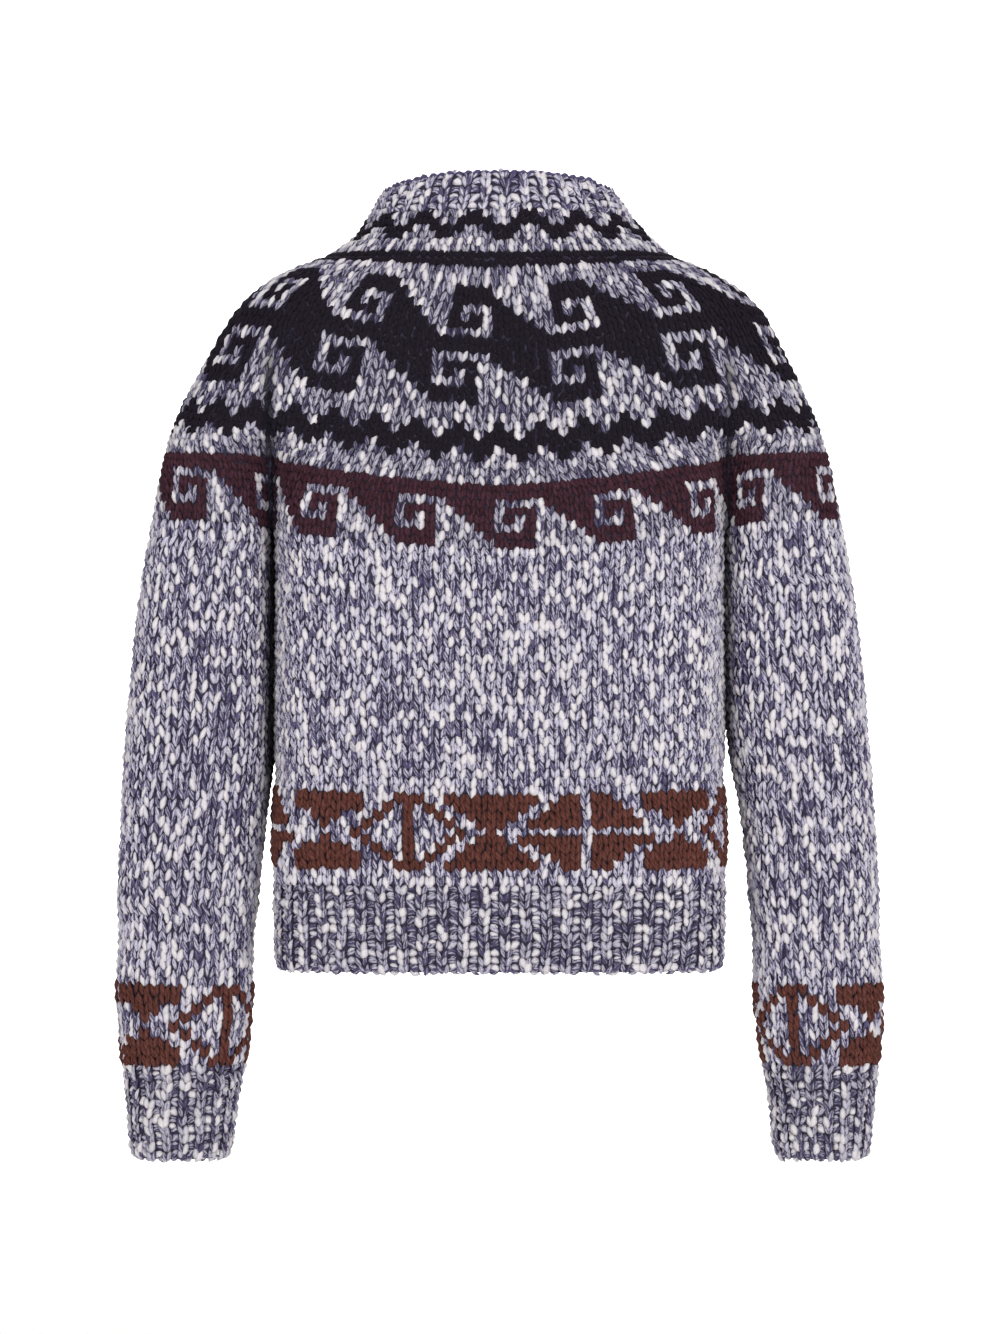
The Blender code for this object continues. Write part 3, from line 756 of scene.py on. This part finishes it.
def wander(points):
    """How far stitch columns stray sideways: a sum of three sine waves through the garment."""
    x, y, z = np.moveaxis(points, -1, 0)
    return WANDER * sum(size * np.sin(up * z + across * x + through * y)
                        for up, across, through, size in WANDER_WAVES)


def about_line(points, start, end, width):
    """How far along a line the place nearest to each point lies, from 0 to 1, and a bell curve of
    the distance to it: exp(-(distance / width)^2)."""
    start, end = np.array(start), np.array(end)
    line = end - start
    along = np.clip((points - start) @ line / (line @ line), 0, 1)
    nearest = start + along[..., None] * line
    distance = np.linalg.norm(points - nearest, axis=-1)
    return along, np.exp(-(distance / width)**2)


def painted_slit_shadow(points):
    """How much painted shadow points get in the slits between body and sleeves, from 0 to 1: a bell
    curve of the distance from each slit's line as seen from the back, faded in from its upper end."""
    shadow = np.zeros(len(points))
    for start, end, width, strength in SLIT_SHADOWS:
        along, bell = about_line(points[:, (0, 2)], start, end, width)
        shadow = np.maximum(shadow, strength * np.clip(along / SLIT_FADE, 0, 1) * bell)
    return shadow


def slub_weights(total, share, rng):
    """Which strands are thick and pale, from 0 to 1, in the yarn's order. Some run on into the
    next strand, and some others are only a little thicker."""
    begins = rng.random(total) < share
    begins &= ~np.roll(begins, 1)
    goes_on = np.roll(begins, 1) & (rng.random(total) < SLUB_RUN)
    is_faint = rng.random(total) < FAINT_SLUBS
    faint = np.where(is_faint, FAINT_WEIGHTS[0] + FAINT_WEIGHTS[1] * rng.random(total), 0.0)
    whole = SLUB_WEIGHTS[0] + SLUB_WEIGHTS[1] * rng.random(total)
    return np.where(begins | goes_on, whole, faint)


def strand_faces():
    """A strand's faces, as corner lists, each with its places along and round the strand: four
    triangles at each tip and eight quads between."""
    faces = []
    for k in range(4):
        here, after = k, (k + 1) % 4
        v, w = k / 4, (k + 1) / 4
        t = STRAND_PLACES
        faces.append(([0, 1 + after, 1 + here], [(t[0], (v + w) / 2), (t[1], w), (t[1], v)]))
        for ring in (0, 1):
            low, high = 1 + 4 * ring, 5 + 4 * ring
            faces.append(([low + here, low + after, high + after, high + here],
                          [(t[ring + 1], v), (t[ring + 1], w), (t[ring + 2], w), (t[ring + 2], v)]))
        faces.append(([13, 9 + here, 9 + after], [(t[4], (v + w) / 2), (t[3], v), (t[3], w)]))
    return faces


def strand_mesh(name, parts, materials):
    """One mesh of many closed strands, each an ellipse carried along its path: the middle plus
    cosines of the outward half-size and sines of the sideways one. Each has a UV square of its own
    for baking, and one shared by all that gives the place along and round it, for its twist."""
    path, outward, side, half_out, half_side, yarns, tint = parts
    total = len(path)
    c, s = np.cos(STRAND_ROUND), np.sin(STRAND_ROUND)
    rounds = (path[:, 1:4, None, :]
              + (half_out[:, :, None] * c)[..., None] * outward[:, None, None, :]
              + (half_side[:, :, None] * s)[..., None] * side[:, None, None, :])
    points = np.concatenate([path[:, :1], rounds.reshape(total, 12, 3), path[:, 4:]], axis=1)
    faces = strand_faces()
    corner = np.array([c for face, _ in faces for c in face])
    twist = np.array([p for _, places in faces for p in places])
    sizes = np.array([len(face) for face, _ in faces])
    corners = (corner[None, :] + STRAND_POINTS * np.arange(total)[:, None]).ravel()
    mesh = grid_mesh(name, points.reshape(-1, 3), corners, np.tile(sizes, total))
    mesh.polygons.foreach_set("material_index", np.repeat(yarns, len(faces)).astype(np.int32))
    across = int(np.ceil(np.sqrt(total)))
    cell = np.stack([np.arange(total) % across, np.arange(total) // across], axis=1)
    inset = BAKE_MARGIN + (1 - 2 * BAKE_MARGIN) * twist
    bake = (cell[:, None, :] + inset[None, :, :]) / across
    set_uv(mesh, "Twist", np.tile(twist, (total, 1)))
    set_uv(mesh, "OFBake", bake.reshape(-1, 2))
    set_points(mesh, "strand", np.repeat(tint, STRAND_POINTS, axis=0))
    return add_piece(name, mesh, materials)


# ---- Meshes ------------------------------------------------------------------------------------
def grid_mesh(name, points, corners, sizes):
    """A smooth mesh from points, and from faces given as corner numbers and corner counts."""
    mesh = bpy.data.meshes.new(name)
    mesh.vertices.add(len(points))
    mesh.vertices.foreach_set("co", np.asarray(points, np.float32).ravel())
    mesh.loops.add(len(corners))
    mesh.loops.foreach_set("vertex_index", np.asarray(corners, np.int32))
    mesh.polygons.add(len(sizes))
    starts = np.concatenate([[0], np.cumsum(sizes)[:-1]])
    mesh.polygons.foreach_set("loop_start", starts.astype(np.int32))
    mesh.polygons.foreach_set("loop_total", np.asarray(sizes, np.int32))
    mesh.polygons.foreach_set("use_smooth", np.ones(len(sizes), bool))
    mesh.update(calc_edges=True)
    mesh.validate()
    return mesh


def set_uv(mesh, name, places):
    """A UV map from a place for each face corner."""
    layer = mesh.uv_layers.new(name=name, do_init=False)
    layer.data.foreach_set("uv", np.asarray(places, np.float32).ravel())


def set_points(mesh, name, values):
    """A colour attribute from a value for each point."""
    layer = mesh.color_attributes.new(name, "FLOAT_COLOR", "POINT")
    layer.data.foreach_set("color", np.asarray(values, np.float32).ravel())


def add_piece(name, mesh, materials):
    """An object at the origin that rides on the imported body."""
    for material in materials:
        mesh.materials.append(material)
    piece = bpy.data.objects.new(name, mesh)
    bpy.context.scene.collection.objects.link(piece)
    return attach(piece, "root")


def shell(name, rounds, columns, wave, stitches, rows, sizes):
    """A closed shell of plain cloth below a piece's stitches: its outer rounds, moved in along
    their normals to where the strands lie, and its inner ones a cloth's thickness in. wave is the
    ribs' rise at each column."""
    grid = np.array([even_round(ring, np.arange(columns) / columns) for ring in rounds])
    wave = wave * np.ones(columns)
    normals = across_normals(grid)
    outer = grid + normals * (wave[None, :, None] - sizes.shell_outside)
    inner = grid + normals * (np.minimum(wave, 0)[None, :, None] / 2 - CLOTH)
    levels = len(rounds)
    points = np.concatenate([outer, inner]).reshape(-1, 3)
    order = np.concatenate([np.arange(levels), np.arange(2 * levels - 1, levels - 1, -1), [0]])
    here, after = np.arange(columns), (np.arange(columns) + 1) % columns
    low, high = order[:-1, None] * columns, order[1:, None] * columns
    corners = np.stack([low + here, low + after, high + after, high + here], axis=-1)
    mesh = grid_mesh(name, points, corners.ravel(), np.full(corners.size // 4, 4))
    sides = np.stack([here, here + 1, here + 1, here], axis=-1) / columns

    def strips(heights):
        """UV places of each step's faces, from the height of each rung."""
        ends = np.repeat(np.stack([heights[:-1], heights[1:]], axis=1), 2, axis=1)
        return np.stack(np.broadcast_arrays(sides, ends[:, None, :]), axis=-1).reshape(-1, 2)

    set_uv(mesh, "Knit", strips((order % levels) / (levels - 1)) * (stitches, rows))
    set_uv(mesh, "OFBake", strips(np.arange(len(order)) / (2 * levels)))
    outside = np.repeat((1.0, 0.0), levels * columns)
    set_points(mesh, "outside", np.column_stack([outside] * 3 + [np.ones(len(outside))]))
    return add_piece(name, mesh, [bpy.data.materials["plain_cloth"]])


# ---- Materials ---------------------------------------------------------------------------------
class Nodes:
    """A material's node tree, built a node at a time."""

    def __init__(self, name):
        """A new material with a plain shader."""
        self.material = bpy.data.materials.new(name)
        self.material.use_nodes = True
        self.tree = self.material.node_tree
        self.shader = self.tree.nodes["Principled BSDF"]

    def add(self, kind, values=None, **settings):
        """A node with its inputs set to values or joined to sockets."""
        node = self.tree.nodes.new("ShaderNode" + kind)
        for name, value in settings.items():
            setattr(node, name, value)
        self.join(node, values or {})
        return node

    def join(self, node, values):
        """Sets or joins a node's inputs."""
        for name, value in values.items():
            if isinstance(value, bpy.types.NodeSocket):
                self.tree.links.new(value, node.inputs[name])
            else:
                node.inputs[name].default_value = value

    def math(self, operation, *values):
        """The result of a sum on sockets or numbers."""
        node = self.add("Math", dict(enumerate(values)), operation=operation)
        return node.outputs[0]

    def ramp(self, value, low, high):
        """0 below low and 1 above high, smoothly between."""
        node = self.add("MapRange", {0: value, 1: low, 2: high, 3: 0.0, 4: 1.0},
                        interpolation_type="SMOOTHSTEP")
        return node.outputs[0]

    def mix(self, share, first, second):
        """A mixture of two colours."""
        node = self.add("Mix", data_type="RGBA")
        self.join(node, {0: share, 6: first, 7: second})
        return node.outputs[2]

    def noise(self, scale, detail=2.0):
        """Noise in the garment's own space, scale times to the metre."""
        place = self.add("TexCoord").outputs["Object"]
        node = self.add("TexNoise", {"Vector": place, "Scale": scale, "Detail": detail})
        return node.outputs["Fac"]

    def bump(self, height, distance, strength=1.0):
        """A bump of a height in metres."""
        node = self.add("Bump", {"Height": height, "Distance": distance, "Strength": strength})
        return node.outputs["Normal"]

    def shadowed(self, surface):
        """A strand's colour with painted shadow, nearly black where it lies in a slit, and darker
        by its piece's shade: a mix towards near black by the alpha of its strand attribute.
        """
        lit = self.add("Attribute", attribute_name="strand").outputs["Alpha"]
        return self.mix(lit, rgba(SLIT_SHADOW_BLACK), surface)

    def finish(self, colour_socket, normal, roughness, sheen):
        """Joins the surface's colour and bump, and sets its plain values."""
        self.join(self.shader, {"Base Color": colour_socket, "Normal": normal,
                                "Roughness": roughness, "Sheen Weight": sheen,
                                "Sheen Roughness": 0.5, "Specular IOR Level": 0.08})
        return self.material


def rgba(value):
    """A colour with its alpha."""
    return (*value, 1.0)


def twisted(nodes, turns, plies):
    """A wave from -1 to 1 that winds round each strand, its attribute's three numbers, and a
    shade that falls from 1 to 0 at the strand's sides and tips, where it lies in its
    neighbours' shadow."""
    place = nodes.add("UVMap", uv_map="Twist").outputs[0]
    uv = nodes.add("SeparateXYZ", {0: place})
    mark = nodes.add("Attribute", attribute_name="strand").outputs["Color"]
    mark = nodes.add("SeparateColor", {0: mark}).outputs
    along = nodes.math("MULTIPLY", uv.outputs[0], turns)
    around = nodes.math("MULTIPLY", uv.outputs[1], float(plies))
    phase = nodes.math("ADD", nodes.math("ADD", along, around), mark[0])
    wave = nodes.math("SINE", nodes.math("MULTIPLY", phase, 2 * np.pi))
    off_top = nodes.math("ABSOLUTE", nodes.math("SUBTRACT", uv.outputs[1], 0.5))
    off_middle = nodes.math("ABSOLUTE", nodes.math("SUBTRACT", uv.outputs[0], 0.5))
    sides = nodes.ramp(off_top, low=0.34, high=0.16)
    tips = nodes.ramp(off_middle, low=0.52, high=0.34)
    return wave, mark, nodes.math("MULTIPLY", sides, tips)


def marl(colours):
    """Two plies, one dark and one pale, twisted together, with thick cream slubs."""
    nodes = Nodes("marl_yarn")
    wave, mark, shade = twisted(nodes, turns=0.8, plies=3)
    fine = nodes.noise(scale=950.0, detail=3.0)
    patch = nodes.noise(scale=190.0, detail=1.0)
    spread_out = nodes.math("MULTIPLY", nodes.math("SUBTRACT", fine, 0.5), 2.4)
    tone = nodes.math("MULTIPLY", nodes.math("SUBTRACT", mark[1], 0.5), 1.7)
    drift = nodes.math("MULTIPLY", nodes.math("SUBTRACT", patch, 0.5), 2.4)
    plain_wave = nodes.math("MULTIPLY", wave, 0.62)
    level = nodes.math("ADD", nodes.math("ADD", plain_wave, spread_out),
                       nodes.math("ADD", tone, drift))
    level = nodes.math("ADD", level, nodes.math("MULTIPLY", mark[2], 1.6))
    plies = nodes.mix(nodes.ramp(level, low=-0.75, high=0.85), rgba(colours.dark_ply),
                      rgba(colours.pale_ply))
    cream = nodes.ramp(nodes.math("ADD", mark[2], nodes.math("MULTIPLY", fine, 0.5)),
                       low=0.45, high=1.0)
    surface = nodes.mix(cream, plies, rgba(colours.slub))
    # painted shade: the strand's sides and tips, in its neighbours' shadow, turn to the dark ply's
    # colour
    surface = nodes.mix(shade, rgba(colours.dark_ply), surface)
    height = nodes.math("ADD", wave, nodes.math("MULTIPLY", fine, 2.0))
    return nodes.finish(nodes.shadowed(surface), nodes.bump(height, distance=0.00016, strength=0.8),
                        roughness=0.9, sheen=0.06)


def brushed(name, base, nap):
    """A soft dark yarn whose plies hardly show under its nap."""
    nodes = Nodes(name)
    wave, mark, _ = twisted(nodes, turns=1.0, plies=3)
    fine = nodes.noise(scale=1400.0, detail=3.0)
    level = nodes.math("ADD", nodes.math("MULTIPLY", wave, 0.12), fine)
    level = nodes.math("ADD", level, nodes.math("MULTIPLY", mark[1], 0.25))
    surface = nodes.mix(nodes.ramp(level, low=0.25, high=1.1), rgba(base), rgba(nap))
    return nodes.finish(nodes.shadowed(surface), nodes.bump(level, distance=0.0002, strength=0.7),
                        roughness=0.95, sheen=0.03)


def plied(name, base, light, dark):
    """A smooth, firmly plied yarn."""
    nodes = Nodes(name)
    wave, mark, shade = twisted(nodes, turns=2.0, plies=3)
    fine = nodes.noise(scale=1200.0, detail=2.0)
    level = nodes.math("ADD", nodes.math("MULTIPLY", wave, 0.3), fine)
    level = nodes.math("ADD", level, nodes.math("MULTIPLY", mark[1], 0.4))
    surface = nodes.mix(nodes.ramp(level, low=0.1, high=1.3), rgba(base), rgba(light))
    # painted shade: the strand's sides and tips, in its neighbours' shadow, turn to the dark colour
    surface = nodes.mix(nodes.ramp(shade, low=-0.6, high=0.8), rgba(dark), surface)
    return nodes.finish(nodes.shadowed(surface), nodes.bump(wave, distance=0.00015, strength=0.6),
                        roughness=0.85, sheen=0.03)


def plain_cloth(colours):
    """The cloth's wrong side: rows of purl bumps, in the marl's colours."""
    nodes = Nodes("plain_cloth")
    uv = nodes.add("SeparateXYZ", {0: nodes.add("UVMap", uv_map="Knit").outputs[0]})
    row = nodes.math("SINE", nodes.math("MULTIPLY", uv.outputs[1], 4 * np.pi))
    column = nodes.math("SINE", nodes.math("MULTIPLY", uv.outputs[0], 2 * np.pi))
    height = nodes.math("ADD", row, nodes.math("MULTIPLY", nodes.math("MULTIPLY", row, column),
                                               0.7))
    fine = nodes.noise(scale=420.0, detail=3.0)
    level = nodes.math("ADD", fine, nodes.math("MULTIPLY", height, 0.06))
    surface = nodes.mix(nodes.ramp(level, low=0.42, high=0.68), rgba(colours.ground),
                        rgba(colours.pale_ply))
    outside = nodes.add("Attribute", attribute_name="outside").outputs["Fac"]
    # the outside, seen in the gaps between strands, is all ground colour: painted shade for the
    # gaps
    surface = nodes.mix(outside, surface, rgba(colours.ground))
    return nodes.finish(surface, nodes.bump(height, distance=0.0009, strength=0.8), roughness=0.95,
                        sheen=0.03)


def pale_floor():
    """A plain matt backdrop."""
    nodes = Nodes("pale_floor")
    grain = nodes.ramp(nodes.noise(scale=3.0), low=0.3, high=0.7)
    surface = nodes.mix(grain, rgba((0.93, 0.93, 0.93)), rgba((0.95, 0.95, 0.95)))
    return nodes.finish(surface, nodes.bump(grain, distance=0.0001, strength=0.1), roughness=0.9,
                        sheen=0.0)


# ---- Knitting ----------------------------------------------------------------------------------
def soft_creases(points, normals):
    """How far a crease moves each point out: the sum, over the troughs and ridges, of the rise
    times a bell curve of the distance from the crease's line, faded out towards its two ends."""
    move = np.zeros(points.shape[:-1])
    for start, end, width, rise in CREASES:
        along, bell = about_line(points, start, end, width)
        move += rise * (CREASE_ENDS + (1 - CREASE_ENDS) * np.sin(np.pi * along)) * bell
    return points + normals * move[..., None]


def rounds_of(node, rows):
    """A piece's rounds from its lowest to its highest, one more than its rows, with its troughs
    and ridges. A rib's free edge is drawn in, less and less by an exponential."""
    piece = PIECES[node]
    levels = np.linspace(0, 1, rows + 1)
    rounds = np.array([ROUNDS[node](level) for level in levels])
    if "free_edge" in piece:
        tuck = RIB_TUCK * np.exp(-np.abs(piece["free_edge"] - levels) / TUCK_FADE)
        rounds = rounds - across_normals(rounds) * tuck[:, None, None]
    move = np.zeros(len(levels))
    for place, width, rise in piece.get("waves", ()):
        move += rise * np.exp(-((levels - place) / width)**2)
    rounds = rounds + across_normals(rounds) * move[:, None, None]
    return soft_creases(rounds, across_normals(rounds))


def with_turned_edge(node, rounds):
    """A rib's rounds, with one more that turns in under its free edge."""
    at_top = PIECES[node]["free_edge"] == 1
    end = -1 if at_top else 0
    turned = rounds[end] - across_normals(rounds)[end] * EDGE_TURN
    return np.concatenate([rounds, turned[None]] if at_top else [turned[None], rounds])


def is_back(shares):
    """Whether these shares of a round are on the garment's back."""
    return (shares < 0.25) | (shares >= 0.75)


def knit(node, rows, row_plan, halves=False, rib=False, seed=0):
    """A piece's plain cloth and its strands, in a back and a front half where there are many. In a
    rib every second column is purl, and so is the round that turns in at its free edge."""
    sizes = bpy.context.scene.knit_sizes
    piece = PIECES[node]
    rng = np.random.default_rng(seed)
    yarn_materials = [bpy.data.materials[name] for name in YARNS]
    rounds = rounds_of(node, rows)
    stitches = row_plan(0)[0]
    knit_rounds = with_turned_edge(node, rounds) if rib else rounds
    corners, yarns, columns, shares = stitch_cells(knit_rounds, row_plan)
    purl = (columns % 2 == 1) & rib
    rise = piece.get("rib_rise", 0.0)
    raised = np.where(purl, -0.5, 0.5) * rise
    wave = 0.0
    if rib:
        edge = slice(-stitches, None) if piece["free_edge"] == 1 else slice(0, stitches)
        purl[edge] = True
        raised[edge] = EDGE_SINK
        # the plain cloth's crests are below the middles of the knit columns
        ribs = np.arange(piece["columns"]) / piece["columns"] * stitches / 2
        wave = SHELL_WAVE * rise * np.cos(2 * np.pi * (ribs - 0.25))
    parts = {"": np.ones(len(shares), bool)}
    if halves:
        parts = {"_back": is_back(shares), "_front": ~is_back(shares)}
    for suffix, mask in parts.items():
        strand_parts = strands(corners[mask], yarns[mask], purl[mask], raised[mask],
                               piece.get("shade", 0.0), rib, sizes, rng)
        strand_mesh(node + "_stitches" + suffix, strand_parts, yarn_materials)
    kept = rounds[np.unique(np.linspace(0, rows, SHELL_ROUNDS).round().astype(int))]
    cloth = shell(node + "_cloth", kept, piece["columns"], wave, stitches, rows, sizes)
    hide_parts(node)
    return cloth


# ---- Operators ---------------------------------------------------------------------------------
class PULLOVER_OT_yarns(bpy.types.Operator):
    """Mixes the yarns' materials"""
    bl_idname = "pullover.yarns"
    bl_label = "Spin yarns"

    def execute(self, context):
        """Makes the materials."""
        colours = context.scene.yarn_colours
        marl(colours)
        brushed("navy_yarn", colours.navy, colours.navy_nap)
        brushed("burgundy_yarn", colours.burgundy, colours.burgundy_nap)
        plied("brown_yarn", colours.brown, colours.brown_light, colours.brown_painted_shade)
        plain_cloth(colours)
        return {"FINISHED"}


class PULLOVER_OT_body(bpy.types.Operator):
    """Knits the body with its band of figures"""
    bl_idname = "pullover.body"
    bl_label = "Knit body"

    def execute(self, context):
        """Knits the body."""
        sizes = context.scene.knit_sizes
        knit("body", sizes.body_rows, lambda row: body_row(row, sizes), halves=True, seed=11)
        return {"FINISHED"}


class PULLOVER_OT_yoke(bpy.types.Operator):
    """Knits the round yoke with its bands"""
    bl_idname = "pullover.yoke"
    bl_label = "Knit yoke"

    def execute(self, context):
        """Knits the yoke."""
        sizes = context.scene.knit_sizes
        knit("yoke", sizes.yoke_rows, yoke_row, halves=True, seed=12)
        return {"FINISHED"}


class PULLOVER_OT_sleeves(bpy.types.Operator):
    """Knits both sleeves with their bands of figures"""
    bl_idname = "pullover.sleeves"
    bl_label = "Knit sleeves"

    def execute(self, context):
        """Knits a sleeve a side."""
        sizes = context.scene.knit_sizes
        for seed, side in enumerate(("left", "right"), start=13):
            knit("sleeve_" + side, sizes.sleeve_rows,
                 lambda row, side=side: sleeve_row(row, side, sizes), seed=seed)
        return {"FINISHED"}


class PULLOVER_OT_ribs(bpy.types.Operator):
    """Knits the ribs: the hem's, the cuffs' and the collar's"""
    bl_idname = "pullover.ribs"
    bl_label = "Knit ribs"

    def execute(self, context):
        """Knits each rib."""
        sizes = context.scene.knit_sizes
        ribs = (("hem_rib", sizes.hem_rows, sizes.body_stitches),
                ("cuff_left", sizes.cuff_rows, sizes.sleeve_stitches),
                ("cuff_right", sizes.cuff_rows, sizes.sleeve_stitches),
                ("collar", sizes.collar_rows, 2 * sizes.collar_ribs))
        for seed, (node, rows, stitches) in enumerate(ribs, start=15):
            knit(node, rows, lambda row, stitches=stitches: rib_row(stitches), rib=True, seed=seed)
        return {"FINISHED"}


class PULLOVER_OT_studio(bpy.types.Operator):
    """Sets the floor, the lights and the camera"""
    bl_idname = "pullover.studio"
    bl_label = "Set up studio"

    def execute(self, context):
        """Adds the floor, the lights, the world and the camera."""
        studio = context.scene.studio_settings
        backdrop(studio.floor_height)
        for settings in LIGHTS:
            light(*settings)
        world = bpy.data.worlds.new("studio")
        world.use_nodes = True
        background = world.node_tree.nodes["Background"].inputs
        background["Color"].default_value = (1.0, 1.0, 1.0, 1.0)
        background["Strength"].default_value = WORLD_STRENGTH
        context.scene.world = world
        camera = bpy.data.objects.new("camera", bpy.data.cameras.new("camera"))
        camera.data.sensor_width = SENSOR
        camera.data.lens = SENSOR * studio.camera_distance / studio.picture_height
        camera.location = (CAMERA_ACROSS, -studio.camera_distance, studio.camera_height)
        camera.rotation_euler = (np.pi / 2, 0.0, 0.0)
        context.scene.collection.objects.link(camera)
        context.scene.camera = camera
        context.scene.view_settings.view_transform = "Standard"
        return {"FINISHED"}


def backdrop(floor):
    """A floor that curves up into a wall behind: a straight stretch, a quarter circle and a
    straight rise, swept along X."""
    turn = np.linspace(0, np.pi / 2, BEND_STEPS)
    curve = np.column_stack([BEND_START + BEND_RADIUS * np.sin(turn),
                             floor + BEND_RADIUS * (1 - np.cos(turn))])
    profile = np.vstack([(-BACKDROP_REACH, floor), curve,
                         (BEND_START + BEND_RADIUS, floor + BACKDROP_REACH)])
    points = np.concatenate([np.column_stack([np.full(len(profile), x), profile])
                             for x in (-BACKDROP_HALF_WIDTH, BACKDROP_HALF_WIDTH)])
    here = np.arange(len(profile) - 1)
    faces = np.column_stack([here, here + len(profile), here + len(profile) + 1, here + 1])
    mesh = grid_mesh("backdrop", points, faces.ravel(), np.full(len(faces), 4))
    mesh.materials.append(pale_floor())
    sheet = bpy.data.objects.new("backdrop", mesh)
    bpy.context.scene.collection.objects.link(sheet)


def light(name, place, aim, size, power):
    """A square soft light that looks at a point."""
    lamp = bpy.data.objects.new(name, bpy.data.lights.new(name, "AREA"))
    lamp.data.energy = power
    lamp.data.size = size
    lamp.location = place
    lamp.rotation_euler = (Vector(aim) - Vector(place)).to_track_quat("-Z", "Y").to_euler()
    bpy.context.scene.collection.objects.link(lamp)


OPERATORS = (PULLOVER_OT_yarns, PULLOVER_OT_body, PULLOVER_OT_yoke, PULLOVER_OT_sleeves,
             PULLOVER_OT_ribs, PULLOVER_OT_studio)


class PULLOVER_PT_panel(bpy.types.Panel):
    """Lists the pullover's steps in the sidebar"""
    bl_idname = "PULLOVER_PT_panel"
    bl_label = "Pullover"
    bl_space_type = "VIEW_3D"
    bl_region_type = "UI"
    bl_category = "Pullover"

    def draw(self, context):
        """A button for each step."""
        for operator in OPERATORS:
            self.layout.operator(operator.bl_idname)


CLASSES = (KnitSizes, YarnColours, StudioSettings, *OPERATORS, PULLOVER_PT_panel)
SETTINGS = {"knit_sizes": KnitSizes, "yarn_colours": YarnColours,
            "studio_settings": StudioSettings}


def register():
    """Registers the classes, and gives each scene their settings."""
    for item in CLASSES:
        bpy.utils.register_class(item)
    for name, group in SETTINGS.items():
        setattr(bpy.types.Scene, name, bpy.props.PointerProperty(type=group))


def unregister():
    """Takes back what register did."""
    for name in SETTINGS:
        delattr(bpy.types.Scene, name)
    for item in reversed(CLASSES):
        bpy.utils.unregister_class(item)


def main():
    """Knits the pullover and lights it."""
    register()
    bpy.ops.pullover.yarns()
    bpy.ops.pullover.body()
    bpy.ops.pullover.yoke()
    bpy.ops.pullover.sleeves()
    bpy.ops.pullover.ribs()
    bpy.ops.pullover.studio()


if __name__ == "__main__":
    main()
